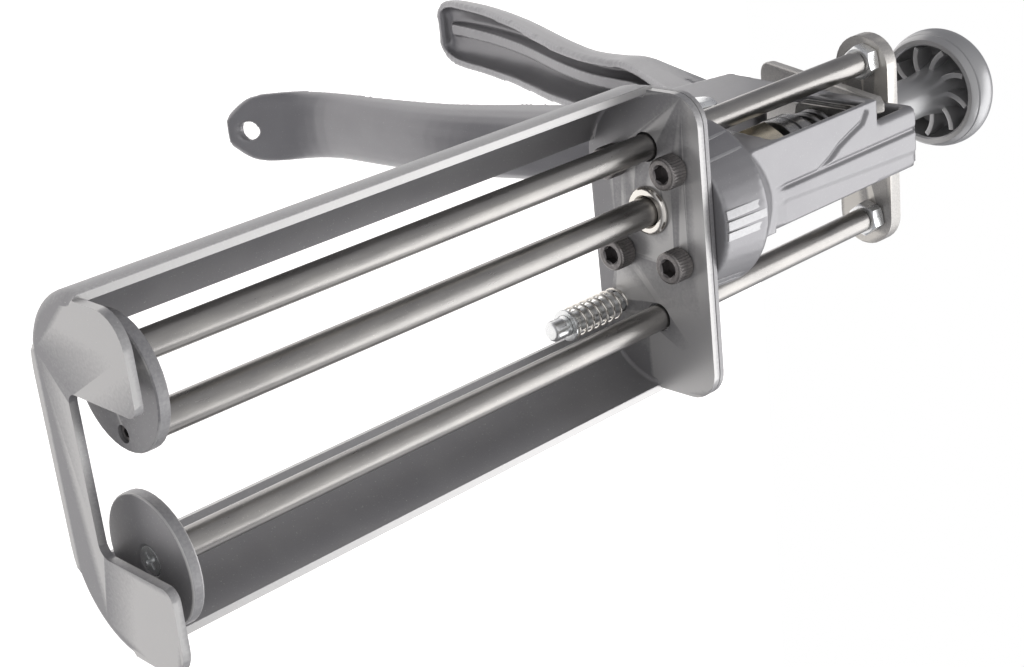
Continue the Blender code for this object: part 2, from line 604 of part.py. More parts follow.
def build_trigger(paint, zinc):
    """The lever, its fork behind the grip plates, and the pin that it swings on."""
    sections = flowing(in_metres(TRIGGER_STATIONS, TRIGGER_HALF))
    lever = place("trigger", channel(sections, TRIGGER_WALL), paint)
    boss = arc((PIVOT_X, PIVOT_Z), 8 * MM, 60, 200, 10)
    ear = [(-31 * MM, -48 * MM), (-38 * MM, -31 * MM)] + boss + [(-60 * MM, -37 * MM), (-52 * MM, -50 * MM)]
    tail = FORK_FRONT - 4 * MM
    fork = [(PIVOT_X + 2 * MM, PIVOT_Z + 5.5 * MM), (FORK_FRONT, PIVOT_Z + 5.5 * MM), (FORK_FRONT, -1 * MM),
            (tail, -1 * MM), (tail, -20 * MM), (PIVOT_X - 4 * MM, -33 * MM), (PIVOT_X + 2 * MM, -31 * MM)]
    for side in (-1, 1):
        inner, outer = sorted((side * FORK_INNER, side * FORK_OUTER))
        join(lever, prism(ear, inner, outer, "Y"))
        join(lever, prism(fork, inner, outer, "Y"))
    cut(lever, cross_cylinder(PIVOT_X, PIVOT_Z, -20 * MM, 20 * MM, PIVOT_PIN / 2 + GAP))
    cut(lever, cylinder(-20 * MM, 20 * MM, HANG_HOLE / 2, 0, HANG_HOLE_Z, 20))
    for item in [lever] + [m.object for m in lever.modifiers]:
        set_origin(item, (PIVOT_X, 0, PIVOT_Z))

    right = -BODY_HALF - GAP
    left = BODY_HALF + GAP + 1.2 * MM
    pin = place("pivot_pin", cross_cylinder(PIVOT_X, PIVOT_Z, right - 0.5 * MM, left, PIVOT_PIN / 2), zinc)
    edge = RIVET_HEAD / 2
    dome = [(0, 0), (0, edge), (1.2 * MM, edge - 0.2 * MM), (2.4 * MM, 0.7 * edge), (3.0 * MM, 0)]
    head = turned(dome)
    bmesh.ops.transform(head, verts=head.verts, matrix=Matrix.Translation((PIVOT_X, right, PIVOT_Z))
                        @ Matrix.Rotation(-math.pi / 2, 4, "Z"))
    join(pin, head)
    clip = cross_cylinder(PIVOT_X, PIVOT_Z, BODY_HALF + GAP, BODY_HALF + GAP + MM, 5 * MM)
    washer = place("pivot_clip", clip, zinc)
    cut(washer, cross_cylinder(PIVOT_X, PIVOT_Z, BODY_HALF, left + MM, PIVOT_PIN / 2 + GAP / 2))


# ---------------------------------------------------------------- rod carriage

def build_rods(steel, dark, zinc, oxide):
    rod_front = DISC_REAR - GAP
    place("drive_rod", turned([(DRIVE_ROD_REAR, 0), (DRIVE_ROD_REAR, DRIVE_ROD / 2 - 0.5 * MM),
                               (DRIVE_ROD_REAR + 0.5 * MM, DRIVE_ROD / 2), (rod_front, DRIVE_ROD / 2),
                               (rod_front, 0)]), steel)
    stud_rear = YOKE_REAR + 0.2 * MM
    shoulder = NUT_FRONT + GAP
    for name, y in (("guide_rod_right", GUIDE_RIGHT_Y), ("guide_rod_left", GUIDE_LEFT_Y)):
        profile = [(stud_rear, 0), (stud_rear, STUD / 2), (shoulder, STUD / 2), (shoulder, GUIDE_ROD / 2),
                   (rod_front, GUIDE_ROD / 2), (rod_front, 0)]
        place(name, turned(profile, y, CARTRIDGE_Z, 28), steel)

    edge = 0.4 * MM
    for name, y in (("push_disc_right", RIGHT_CARTRIDGE_Y), ("push_disc_left", LEFT_CARTRIDGE_Y)):
        profile = [(DISC_REAR, 0), (DISC_REAR, DISC_RADIUS - edge), (DISC_REAR + edge, DISC_RADIUS),
                   (DISC_FRONT - edge, DISC_RADIUS), (DISC_FRONT, DISC_RADIUS - edge), (DISC_FRONT, 0)]
        place(name, turned(profile, y, CARTRIDGE_Z, 40), dark)
    for side, y in (("right", GUIDE_RIGHT_Y), ("left", GUIDE_LEFT_Y)):
        disc = bpy.data.objects["push_disc_" + side]
        sink = 2.4 * MM
        seat = [(DISC_REAR - MM, 0), (DISC_REAR - MM, 2.5 * MM), (DISC_FRONT - sink, 2.5 * MM),
                (DISC_FRONT + 0.1 * MM, 4.6 * MM), (DISC_FRONT + MM, 4.6 * MM), (DISC_FRONT + MM, 0)]
        cut(disc, turned(seat, y, CARTRIDGE_Z, 20))
        top = DISC_FRONT - 0.2 * MM
        head = [(DISC_REAR, 0), (DISC_REAR, 2.1 * MM), (DISC_FRONT - sink, 2.1 * MM), (top - GAP, 4.0 * MM),
                (top, 4.0 * MM), (top, 0)]
        screw = place("disc_screw_" + side, turned(head, y, CARTRIDGE_Z, 20), zinc)
        for turn in (0, 90):
            bar = rounded_box(-2.4 * MM, 2.4 * MM, -0.5 * MM, 0.5 * MM, 0.2 * MM, 1)
            slot = prism(bar, top - 1.4 * MM, top + MM)
            bmesh.ops.transform(slot, verts=slot.verts, matrix=Matrix.Translation((0, y, CARTRIDGE_Z))
                                @ Matrix.Rotation(math.radians(turn + 30), 4, "X"))
            cut(screw, slot)
    right_disc = bpy.data.objects["push_disc_right"]
    cut(right_disc, cylinder(DISC_REAR - MM, DISC_FRONT + MM, 2.4 * MM, 0, 0, 24))
    grub = place("drive_rod_screw", cylinder(DISC_REAR, DISC_FRONT - 0.9 * MM, 2.1 * MM, 0, 0, 24), oxide)
    cut(grub, hexagon(DISC_FRONT - 2.6 * MM, DISC_FRONT, 2.2 * MM))
    place("drive_rod_clip", ring(rod_front - 1.3 * MM, rod_front, DRIVE_ROD / 2 + 1.6 * MM,
                                 DRIVE_ROD / 2 + 0.15 * MM), zinc)


def build_yoke(dark, zinc):
    outline = arc((GUIDE_RIGHT_Y + 2.5 * MM, YOKE_Z), YOKE_RADIUS, 270, 90, 16)
    outline += arc((GUIDE_LEFT_Y, YOKE_Z), YOKE_RADIUS, 90, -90, 16)
    yoke = place("yoke", prism(outline, YOKE_REAR, YOKE_FRONT), dark)
    for y in (GUIDE_RIGHT_Y, GUIDE_LEFT_Y):
        cut(yoke, cylinder(YOKE_REAR - MM, YOKE_FRONT + MM, STUD / 2 + GAP, y, CARTRIDGE_Z, 20))
    cut(yoke, cylinder(YOKE_REAR - MM, YOKE_FRONT + MM, DRIVE_ROD / 2 + GAP, 0, 0, 24))
    for side, y in (("right", GUIDE_RIGHT_Y), ("left", GUIDE_LEFT_Y)):
        nut = place("yoke_nut_" + side, hexagon(NUT_REAR, NUT_FRONT, NUT_FLATS, y, CARTRIDGE_Z, 10.0), zinc,
                    smooth=False)
        cut(nut, cylinder(NUT_REAR - MM, NUT_FRONT + MM, STUD / 2 + GAP / 2, y, CARTRIDGE_Z, 24))


def build_knob(plastic, brass):
    """A hollow mushroom knob, open to the front, with ribs between its hub and rim."""
    floor = KNOB_RIM - 0.55 * KNOB_DOME
    inner = KNOB_RADIUS - KNOB_WALL
    profile = [(HUB_FRONT, DRIVE_ROD / 2 + 3.4 * MM), (KNOB_RIM + 8 * MM, KNOB_HUB), (floor, KNOB_HUB + 2 * MM),
               (floor, inner - 3 * MM), (KNOB_RIM - 3 * MM, inner), (KNOB_RIM, inner)]
    for step in range(9):
        angle = math.radians(90 * step / 8)
        shoulder = KNOB_RIM - 3 * MM
        height = KNOB_DOME - 3 * MM
        if step == 0:
            profile.append((KNOB_RIM, KNOB_RADIUS - 0.5 * MM))
            profile.append((KNOB_RIM - 0.5 * MM, KNOB_RADIUS))
        profile.append((shoulder - height * math.sin(angle), KNOB_RADIUS * math.cos(angle)))
    bore_end = DRIVE_ROD_REAR - MM
    bore = DRIVE_ROD / 2 + GAP
    profile += [(bore_end, 0), (bore_end, bore), (HUB_FRONT, bore)]
    knob = place("knob", turned(profile, steps=32), plastic)
    end = inner - 0.5 * MM
    for number in range(KNOB_RIBS):
        rib = prism([(KNOB_HUB - MM, -0.7 * MM), (end, -0.7 * MM), (end, 0.7 * MM),
                     (KNOB_HUB - MM, 0.7 * MM)], floor - MM, KNOB_RIM - 1.2 * MM)
        bmesh.ops.rotate(rib, verts=rib.verts, cent=(0, 0, 0),
                         matrix=Matrix.Rotation(2 * math.pi * number / KNOB_RIBS, 3, "X"))
        join(knob, rib)
    insert_front = HUB_FRONT - MM
    cut(knob, cylinder(insert_front - 6.3 * MM, HUB_FRONT + MM, DRIVE_ROD / 2 + 2.2 * MM, steps=32))
    place("knob_insert", ring(insert_front - 6 * MM, insert_front, DRIVE_ROD / 2 + 1.9 * MM,
                              DRIVE_ROD / 2 + GAP / 2, steps=32), brass)


def add_datum():
    """Parent everything to an empty that sets the frame origin."""
    datum = bpy.data.objects.new("datum", None)
    for item in list(bpy.data.objects):
        if item is not datum:
            item.parent = datum
    bpy.context.scene.collection.objects.link(datum)
    datum.location = (-CRADLE_LENGTH, -CRADLE_MIDDLE_Y, -STRIP_MIDDLE_Z)


def main():
    clear_scene()
    frame_paint = finish("cradle_paint", (0.17, 0.17, 0.175), 0.55, 0.38)
    cast_paint = finish("casting_paint", (0.30, 0.30, 0.305), 0.6, 0.36)
    dark_steel = finish("dark_steel", (0.13, 0.12, 0.115), 0.9, 0.33)
    black_steel = finish("blackened_steel", (0.05, 0.05, 0.052), 0.85, 0.4)
    oxide = finish("black_oxide", (0.045, 0.04, 0.04), 0.8, 0.42)
    zinc = finish("zinc_plate", (0.62, 0.62, 0.60), 1.0, 0.3)
    nickel = finish("nickel", (0.66, 0.63, 0.58), 1.0, 0.22)
    gold = finish("pale_gold_nut", (0.62, 0.56, 0.42), 1.0, 0.3)
    plastic = finish("knob_plastic", (0.06, 0.06, 0.062), 0.0, 0.5)

    build_cradle(frame_paint)
    build_cradle_screws(oxide)
    build_holder_pin(zinc, nickel)
    build_casting(cast_paint)
    build_bushings(nickel)
    build_drive(gold, black_steel, dark_steel)
    build_brake(black_steel, frame_paint)
    build_trigger(cast_paint, zinc)
    build_rods(dark_steel, frame_paint, zinc, oxide)
    build_yoke(frame_paint, zinc)
    build_knob(plastic, gold)
    add_datum()


main()
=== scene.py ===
"""Looks of a caulking gun for two cartridges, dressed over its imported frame.

Each sub-assembly is a class: the sheet-metal cradle, the body casting, the drive mechanism inside
it, the trigger, the rod carriage, the pull knob and the cartridge holder. A class builds its own
pieces over the frame's nodes, gives them their finishes and lets them ride on their bodies.
"""

import logging
import math
from collections.abc import Callable, Iterator, Sequence
from contextlib import contextmanager
from dataclasses import dataclass, field
from enum import Enum

import bmesh
import bpy
from mathutils import Matrix, Vector


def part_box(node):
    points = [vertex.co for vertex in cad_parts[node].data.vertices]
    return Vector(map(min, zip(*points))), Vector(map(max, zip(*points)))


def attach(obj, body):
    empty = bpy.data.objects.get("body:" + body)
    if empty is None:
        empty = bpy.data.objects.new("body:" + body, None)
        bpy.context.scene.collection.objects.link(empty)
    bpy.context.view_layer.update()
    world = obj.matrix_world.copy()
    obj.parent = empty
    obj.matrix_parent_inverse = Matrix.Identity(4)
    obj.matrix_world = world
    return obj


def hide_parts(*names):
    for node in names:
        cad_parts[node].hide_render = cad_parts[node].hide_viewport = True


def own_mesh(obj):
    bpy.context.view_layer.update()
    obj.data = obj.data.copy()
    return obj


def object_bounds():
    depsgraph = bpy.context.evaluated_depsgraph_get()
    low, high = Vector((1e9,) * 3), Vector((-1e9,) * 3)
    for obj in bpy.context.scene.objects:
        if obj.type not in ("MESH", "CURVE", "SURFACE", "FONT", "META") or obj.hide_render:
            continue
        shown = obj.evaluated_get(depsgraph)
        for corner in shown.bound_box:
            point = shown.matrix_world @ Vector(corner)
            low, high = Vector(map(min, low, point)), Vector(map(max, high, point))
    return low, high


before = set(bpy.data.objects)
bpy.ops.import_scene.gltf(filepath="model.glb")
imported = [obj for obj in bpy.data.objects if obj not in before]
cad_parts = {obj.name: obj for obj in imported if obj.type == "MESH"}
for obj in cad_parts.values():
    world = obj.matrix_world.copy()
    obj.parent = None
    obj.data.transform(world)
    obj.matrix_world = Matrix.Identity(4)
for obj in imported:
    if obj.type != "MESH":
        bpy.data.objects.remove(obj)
CAD_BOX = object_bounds()
MIDDLE = (CAD_BOX[0] + CAD_BOX[1]) / 2

MM = 0.001
SHEET = 2.4 * MM
CLEARANCE = 0.3 * MM            # between pieces that seat on each other
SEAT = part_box("cradle_frame")[0].x + SHEET     # front face of the cradle's rear plate
LOG = logging.getLogger("caulking_gun")

Colour = tuple[float, float, float]
Triple = tuple[float, float, float]
Station = tuple[float, float]
Test = Callable[[object], bool]


class Body(Enum):
    """The moving bodies that pieces ride on."""

    GUN = "gun_frame"
    CARRIAGE = "carriage"
    TRIGGER = "trigger_lever"
    GRIP = "grip_plates"
    BRAKE = "brake"
    HOLDER = "holder"


class Kind(Enum):
    """What a selection is made of."""

    VERT = "verts"
    EDGE = "edges"
    FACE = "faces"


# ---------------------------------------------------------------- shader maths

class Value:
    """A shader socket that can be used in Python sums."""

    def __init__(self, shader: "Shader", socket: bpy.types.NodeSocket) -> None:
        """Keep the socket and the shader that it belongs to.

        Args:
            shader: The shader that new maths nodes are added to.
            socket: The output socket that this value stands for.
        """
        self.shader = shader
        self.socket = socket

    def _sum(self, operation: str, first: "Value | float", second: "Value | float") -> "Value":
        """One Math node on two values."""
        return self.shader.node("ShaderNodeMath", {"operation": operation}, {0: first, 1: second})

    def __add__(self, other: "Value | float") -> "Value":
        """This value plus another."""
        return self._sum("ADD", self, other)

    def __radd__(self, other: float) -> "Value":
        """A number plus this value."""
        return self._sum("ADD", other, self)

    def __sub__(self, other: "Value | float") -> "Value":
        """This value less another."""
        return self._sum("SUBTRACT", self, other)

    def __rsub__(self, other: float) -> "Value":
        """A number less this value."""
        return self._sum("SUBTRACT", other, self)

    def __mul__(self, other: "Value | float") -> "Value":
        """This value times another."""
        return self._sum("MULTIPLY", self, other)

    def __rmul__(self, other: float) -> "Value":
        """A number times this value."""
        return self._sum("MULTIPLY", other, self)

    def __pow__(self, power: float) -> "Value":
        """This value to a power."""
        return self._sum("POWER", self, power)

    def clamped(self) -> "Value":
        """This value held between 0 and 1."""
        return self._sum("MINIMUM", self._sum("MAXIMUM", self, 0.0), 1.0)

    def above(self, threshold: float, softness: float) -> "Value":
        """A mask that rises from 0 to 1 over a short range above a threshold.

        Args:
            threshold: Where the mask starts.
            softness: How far above it the mask is full.

        Returns:
            The mask.
        """
        return ((self - threshold) * (1.0 / softness)).clamped()


class Shader:
    """A material's node tree, with one method that adds every kind of node."""

    def __init__(self, name: str) -> None:
        """Start a material with its Principled shader.

        Args:
            name: The material's name.
        """
        self.material = bpy.data.materials.new(name)
        self.material.use_nodes = True
        self.tree = self.material.node_tree
        self.surface = self.tree.nodes["Principled BSDF"]

    def node(self, kind: str, settings: dict | None = None, values: dict | None = None,
             output: int | str = 0) -> Value:
        """Add a node.

        Args:
            kind: The node's type.
            settings: Attributes set first, such as a Math node's operation.
            values: Numbers, colours or values for its sockets, by name or number.
            output: Which of its outputs is returned.

        Returns:
            The output as a value.
        """
        made = self.tree.nodes.new(kind)
        for key, setting in (settings or {}).items():
            setattr(made, key, setting)
        for key, value in (values or {}).items():
            if isinstance(value, Value):
                self.tree.links.new(value.socket, made.inputs[key])
            else:
                made.inputs[key].default_value = value
        return Value(self, made.outputs[output])

    def feed(self, socket: str, value: "Value | float | Sequence[float]") -> None:
        """Set or link one of the Principled shader's sockets.

        Args:
            socket: The socket's name.
            value: What it takes.
        """
        if isinstance(value, Value):
            self.tree.links.new(value.socket, self.surface.inputs[socket])
        else:
            self.surface.inputs[socket].default_value = value

    def noise(self, where: Value, size: float, detail: float = 3.0) -> Value:
        """Cloudy noise with patches of about one size.

        Args:
            where: The coordinates that it is read at.
            size: The patches' size in metres.
            detail: How many finer layers it has.

        Returns:
            The noise, about 0.5 on average.
        """
        return self.node("ShaderNodeTexNoise", {"noise_dimensions": "3D"},
                         {"Vector": where, "Scale": 1.0 / size, "Detail": detail}, "Fac")

    def mix(self, factor: Value, first: "Value | Colour", second: "Value | Colour") -> Value:
        """Two colours mixed by a factor."""
        ends = [end if isinstance(end, Value) else (*end, 1.0) for end in (first, second)]
        return self.node("ShaderNodeMix", {"data_type": "RGBA", "clamp_factor": True},
                         {0: factor, 6: ends[0], 7: ends[1]}, 2)


@dataclass(frozen=True)
class Finish:
    """A surface finish: its colour, its unevenness and its edges lightened partly by wear and
    partly by painted highlight.
    """

    name: str
    slot: str
    colour: Colour
    metallic: float
    roughness: float
    light: Colour = (0.5, 0.5, 0.5)     # colour of random patches and specks, and of the lightened edges (partly wear, partly painted highlight)
    mottle: float = 0.08                # how strongly the colour drifts
    mottle_size: float = 14 * MM
    unevenness: float = 0.10            # how much the roughness drifts
    specks: float = 0.0                 # strength of fine bright specks
    speck_size: float = 0.45 * MM
    grain: float = 0.05                 # depth of the surface's fine texture in mm
    grain_size: float = 0.7 * MM
    edge_wear_and_highlight: float = 0.0                   # how much the convex edges are lightened in colour: partly wear, partly painted highlight
    stretch: Triple = (1.0, 1.0, 1.0)   # how the pattern is squeezed along each axis
    coat: float = 0.0

    def make(self) -> bpy.types.Material:
        """The finish as a material, made once.

        Returns:
            The material.
        """
        if self.name in bpy.data.materials:
            return bpy.data.materials[self.name]
        shader = Shader(self.name)
        place = shader.node("ShaderNodeTexCoord", output="Object")
        where = shader.node("ShaderNodeMapping", {}, {"Vector": place, "Scale": self.stretch})
        cloud = shader.noise(where, self.mottle_size, 4.0)
        fine = shader.noise(where, self.grain_size, 2.0)
        colour = shader.mix(cloud.above(0.35, 0.4) * self.mottle, self.colour, self.light)
        rough = (cloud - 0.5) * self.unevenness + (fine - 0.5) * (0.5 * self.unevenness)
        if self.specks:
            dots = shader.noise(place, self.speck_size, 1.0).above(0.70, 0.08)
            colour = shader.mix(dots * self.specks, colour, self.light)
        if self.edge_wear_and_highlight:
            # Convex edges are lightened in colour by pointiness: partly paint worn off, partly a
            # painted highlight where rounded edges catch the light.
            corner = shader.node("ShaderNodeNewGeometry", output="Pointiness")
            worn_and_highlit = (corner + (fine - 0.5) * 0.04).above(0.52, 0.06)
            colour = shader.mix(worn_and_highlit * self.edge_wear_and_highlight, colour, self.light)
            rough = rough - worn_and_highlit * 0.08
        shader.feed("Base Color", colour)
        shader.feed("Metallic", self.metallic)
        shader.feed("Roughness", (rough + self.roughness).clamped())
        shader.feed("Coat Weight", self.coat)
        relief = fine * 0.6 + cloud * 0.4
        shader.feed("Normal", shader.node("ShaderNodeBump", {}, {
            "Strength": 1.0, "Distance": self.grain * MM, "Height": relief}, "Normal"))
        return shader.material


CRADLE_PAINT = Finish("satin_grey_paint", "cradle_paint", (0.285, 0.28, 0.288), 0.45, 0.43,
                      light=(0.75, 0.74, 0.72), mottle=0.07, specks=0.45, speck_size=0.5 * MM,
                      grain=0.035, grain_size=0.9 * MM, edge_wear_and_highlight=0.55, coat=0.05)
# Paint for the yoke and brake plate: its strongly lightened edges are partly wear and partly
# painted highlight.
WORN_AND_EDGE_HIGHLIT_PAINT = Finish("rubbed_grey_paint", "cradle_paint", (0.30, 0.292, 0.288), 0.6, 0.42,
                    light=(0.74, 0.71, 0.66), mottle=0.14, mottle_size=8 * MM, specks=0.5,
                    grain=0.08, grain_size=0.6 * MM, edge_wear_and_highlight=0.85)
CAST_PAINT = Finish("silver_grey_casting_paint", "casting_paint", (0.27, 0.265, 0.275), 0.62, 0.37,
                    light=(0.72, 0.72, 0.72), mottle=0.08, mottle_size=18 * MM, specks=0.2,
                    grain=0.03, grain_size=1.1 * MM, edge_wear_and_highlight=0.35, coat=0.05)
ROD_STEEL = Finish("drawn_dark_steel", "dark_steel", (0.31, 0.30, 0.29), 0.95, 0.30,
                   light=(0.72, 0.69, 0.64), mottle=0.20, mottle_size=3 * MM, unevenness=0.12,
                   specks=0.5, speck_size=0.38 * MM, grain=0.025, grain_size=0.5 * MM,
                   stretch=(0.22, 1.0, 1.0))
PLATE_STEEL = Finish("sawn_dark_steel", "dark_steel", (0.22, 0.215, 0.21), 0.9, 0.36,
                     light=(0.6, 0.58, 0.55), mottle=0.2, mottle_size=4 * MM, edge_wear_and_highlight=0.9, specks=0.3)
BLACK_STEEL = Finish("blackened_steel_skin", "blackened_steel", (0.10, 0.10, 0.105), 0.9, 0.32,
                     light=(0.55, 0.54, 0.53), mottle=0.10, mottle_size=5 * MM, edge_wear_and_highlight=0.7)
OXIDE = Finish("black_oxide_skin", "black_oxide", (0.17, 0.16, 0.16), 0.9, 0.36,
               light=(0.55, 0.52, 0.49), mottle=0.14, mottle_size=3 * MM, edge_wear_and_highlight=0.8, specks=0.3)
ZINC = Finish("bright_zinc", "zinc_plate", (0.86, 0.87, 0.87), 0.9, 0.28,
              light=(0.86, 0.87, 0.86), mottle=0.25, mottle_size=4 * MM, grain=0.05,
              grain_size=0.8 * MM)
NICKEL = Finish("bright_nickel", "nickel", (0.78, 0.75, 0.70), 1.0, 0.14,
                light=(0.88, 0.85, 0.80), mottle=0.2, mottle_size=3 * MM, grain=0.02)
PALE_GOLD = Finish("pale_gold_plate", "pale_gold_nut", (0.72, 0.66, 0.54), 1.0, 0.24,
                   light=(0.85, 0.81, 0.70), mottle=0.25, mottle_size=4 * MM, grain=0.04)
KNOB_PLASTIC = Finish("satin_dark_plastic", "knob_plastic", (0.40, 0.40, 0.405), 0.6, 0.34,
                      light=(0.48, 0.47, 0.46), mottle=0.12, mottle_size=9 * MM, unevenness=0.08,
                      grain=0.05, grain_size=0.5 * MM, edge_wear_and_highlight=0.3)


# ---------------------------------------------------------------- modelling by operators

def centre_of(node: str) -> Vector:
    """The middle of a node's box."""
    low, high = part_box(node)
    return (low + high) / 2


def alone(piece: bpy.types.Object) -> None:
    """Make one piece the only selected and active one."""
    bpy.ops.object.select_all(action="DESELECT")
    piece.select_set(True)
    bpy.context.view_layer.objects.active = piece


def named(name: str) -> bpy.types.Object:
    """Name the primitive just added and bring its place into its mesh.

    Args:
        name: The piece's name.

    Returns:
        The piece.
    """
    piece = bpy.context.active_object
    piece.name = name
    piece.data.name = name
    alone(piece)
    bpy.ops.object.transform_apply(location=True, rotation=True, scale=True)
    return piece


@contextmanager
def shaping(piece: bpy.types.Object) -> Iterator[None]:
    """Edit mode on one piece, left again at the end."""
    alone(piece)
    bpy.ops.object.mode_set(mode="EDIT")
    bpy.ops.mesh.select_all(action="SELECT")
    yield
    bpy.ops.object.mode_set(mode="OBJECT")


def pick(piece: bpy.types.Object, kind: Kind, test: Test) -> int:
    """Select the elements that pass a test, in edit mode.

    Args:
        piece: The piece being edited.
        kind: Vertices, edges or faces.
        test: Says whether an element is picked.

    Returns:
        How many were picked.
    """
    bpy.ops.mesh.select_mode(type=kind.name)
    bpy.ops.mesh.select_all(action="DESELECT")
    mesh = bmesh.from_edit_mesh(piece.data)
    count = 0
    for element in getattr(mesh, kind.value):
        if test(element):
            element.select_set(True)
            count += 1
    mesh.select_flush_mode()
    bmesh.update_edit_mesh(piece.data)
    return count


def modify(piece: bpy.types.Object, kind: str, **settings: object) -> bpy.types.Object:
    """Add a modifier and apply it.

    Args:
        piece: The piece.
        kind: The modifier's type.
        **settings: Its attributes.

    Returns:
        The piece.
    """
    alone(piece)
    modifier = piece.modifiers.new(kind.title(), kind)
    for key, value in settings.items():
        setattr(modifier, key, value)
    bpy.ops.object.modifier_apply(modifier=modifier.name)
    return piece


def bevel(piece: bpy.types.Object, width: float, segments: int = 3,
          angle: float = 35.0) -> bpy.types.Object:
    """Round every edge sharper than an angle.

    Args:
        piece: The piece.
        width: The bevel's width.
        segments: How many strips it has.
        angle: The smallest angle in degrees that is rounded.

    Returns:
        The piece.
    """
    return modify(piece, "BEVEL", width=width, segments=segments, limit_method="ANGLE",
                  angle_limit=math.radians(angle), use_clamp_overlap=True, harden_normals=False)


def smooth(piece: bpy.types.Object, angle: float = 32.0) -> bpy.types.Object:
    """Smooth shading up to an angle in degrees, with flat faces kept flat."""
    alone(piece)
    bpy.ops.object.shade_smooth_by_angle(angle=math.radians(angle))
    return modify(piece, "WEIGHTED_NORMAL", mode="FACE_AREA", weight=90, keep_sharp=True)


def outward(piece: bpy.types.Object) -> bpy.types.Object:
    """Merge doubles and point every face outwards."""
    with shaping(piece):
        bpy.ops.mesh.remove_doubles(threshold=1e-6)
        bpy.ops.mesh.normals_make_consistent(inside=False)
    return piece


def subtract(piece: bpy.types.Object, tool: bpy.types.Object,
             operation: str = "DIFFERENCE") -> bpy.types.Object:
    """Cut a tool piece out of a piece, and remove the tool."""
    modify(piece, "BOOLEAN", object=tool, operation=operation, solver="EXACT")
    bpy.data.objects.remove(tool, do_unlink=True)
    return piece


def joined(parts: list[bpy.types.Object], name: str) -> bpy.types.Object:
    """Several pieces made one.

    Args:
        parts: The pieces.
        name: The one piece's name.

    Returns:
        The piece.
    """
    bpy.ops.object.select_all(action="DESELECT")
    for part in parts:
        part.select_set(True)
    bpy.context.view_layer.objects.active = parts[0]
    bpy.ops.object.join()
    parts[0].name = parts[0].data.name = name
    return parts[0]


def traced(node: str, name: str) -> bpy.types.Object:
    """A new piece with a node's shape, its loose triangles merged into clean flat faces.

    Args:
        node: The node that is copied.
        name: The new piece's name.

    Returns:
        The piece.
    """
    bpy.ops.object.select_all(action="DESELECT")
    piece = bpy.data.objects.new(name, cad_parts[node].data.copy())
    piece.data.name = name
    piece.data.materials.clear()
    bpy.context.scene.collection.objects.link(piece)
    with shaping(piece):
        bpy.ops.mesh.remove_doubles(threshold=2e-6)
        bpy.ops.mesh.customdata_custom_splitnormals_clear()
        bpy.ops.mesh.select_all(action="SELECT")
        bpy.ops.mesh.dissolve_limited(angle_limit=math.radians(0.6))
    return piece


def lathe(name: str, stations: Sequence[Station], y: float, z: float, steps: int = 64,
          hollow: bool = False) -> bpy.types.Object:
    """Turn a profile about an axis parallel to X by extruding and scaling a circle.

    Args:
        name: The piece's name.
        stations: The profile as (x, radius) points.
        y: The axis's place across.
        z: The axis's height.
        steps: How many sides the circle has.
        hollow: Whether the profile closes on itself, as a ring's does.

    Returns:
        The piece.
    """
    (x, radius), *rest = stations
    bpy.ops.object.select_all(action="DESELECT")
    bpy.ops.mesh.primitive_circle_add(vertices=steps, radius=radius, location=(x, y, z),
                                      rotation=(0, math.pi / 2, 0),
                                      fill_type="NOTHING" if hollow else "NGON")
    piece = named(name)
    with shaping(piece):
        for next_x, next_radius in rest:
            step = {"value": (next_x - x, 0, 0)}
            if hollow:
                bpy.ops.mesh.extrude_edges_move(TRANSFORM_OT_translate=step)
            else:
                bpy.ops.mesh.extrude_region_move(TRANSFORM_OT_translate=step)
            share = next_radius / radius
            bpy.ops.transform.resize(value=(1, share, share), center_override=(next_x, y, z))
            x, radius = next_x, next_radius
        if hollow:
            pick(piece, Kind.EDGE, lambda edge: edge.is_boundary)
            bpy.ops.mesh.bridge_edge_loops()
    return outward(piece)


def bar(name: str, low: Sequence[float], high: Sequence[float], edge: float,
        segments: int = 2) -> bpy.types.Object:
    """A rectangular block between two corners with rounded edges."""
    bpy.ops.object.select_all(action="DESELECT")
    middle = [(a + b) / 2 for a, b in zip(low, high)]
    bpy.ops.mesh.primitive_cube_add(size=1, location=middle,
                                    scale=[b - a for a, b in zip(low, high)])
    return bevel(named(name), edge, segments)


def hexagon(name: str, x0: float, x1: float, flats: float, y: float, z: float,
            turn: float = 0.0) -> bpy.types.Object:
    """A hexagonal prism along X.

    Args:
        name: The piece's name.
        x0: Its rear end.
        x1: Its front end.
        flats: The distance across its flats.
        y: Its axis's place across.
        z: Its axis's height.
        turn: How far it is turned about X in degrees; at 0 a corner points up.

    Returns:
        The piece.
    """
    bpy.ops.object.select_all(action="DESELECT")
    bpy.ops.mesh.primitive_cylinder_add(vertices=6, radius=flats / math.sqrt(3), depth=x1 - x0,
                                        location=((x0 + x1) / 2, y, z),
                                        rotation=(0, math.pi / 2, 0))
    piece = named(name)
    piece.data.transform(Matrix.Translation((0, y, z)) @ Matrix.Rotation(math.radians(turn), 4, "X")
                         @ Matrix.Translation((0, -y, -z)))
    return piece


def nut(name: str, x0: float, x1: float, flats: float, hole: float, y: float, z: float,
        turn: float) -> bpy.types.Object:
    """A hexagon nut with chamfered corners and a countersunk hole.

    Args:
        name: The piece's name.
        x0: Its rear face.
        x1: Its front face.
        flats: The distance across its flats.
        hole: The hole's radius.
        y: Its axis's place across.
        z: Its axis's height.
        turn: How far it is turned about X in degrees.

    Returns:
        The piece.
    """
    piece = hexagon(name, x0, x1, flats, y, z, turn)
    corner = flats / math.sqrt(3)
    slope = (corner - flats / 2) * 0.62
    crown = [(x0, flats / 2 - 0.2 * MM), (x0 + slope, corner), (x1 - slope, corner),
             (x1, flats / 2 - 0.2 * MM)]
    subtract(piece, lathe("crown", crown, y, z, 72), "INTERSECT")
    sink = 0.5 * MM
    bore = [(x0 - MM, hole + sink + MM), (x0 + sink, hole), (x1 - sink, hole),
            (x1 + MM, hole + sink + MM)]
    subtract(piece, lathe("bore", bore, y, z, 48))
    bevel(piece, 0.18 * MM, 2, 25)
    return smooth(piece, 30)


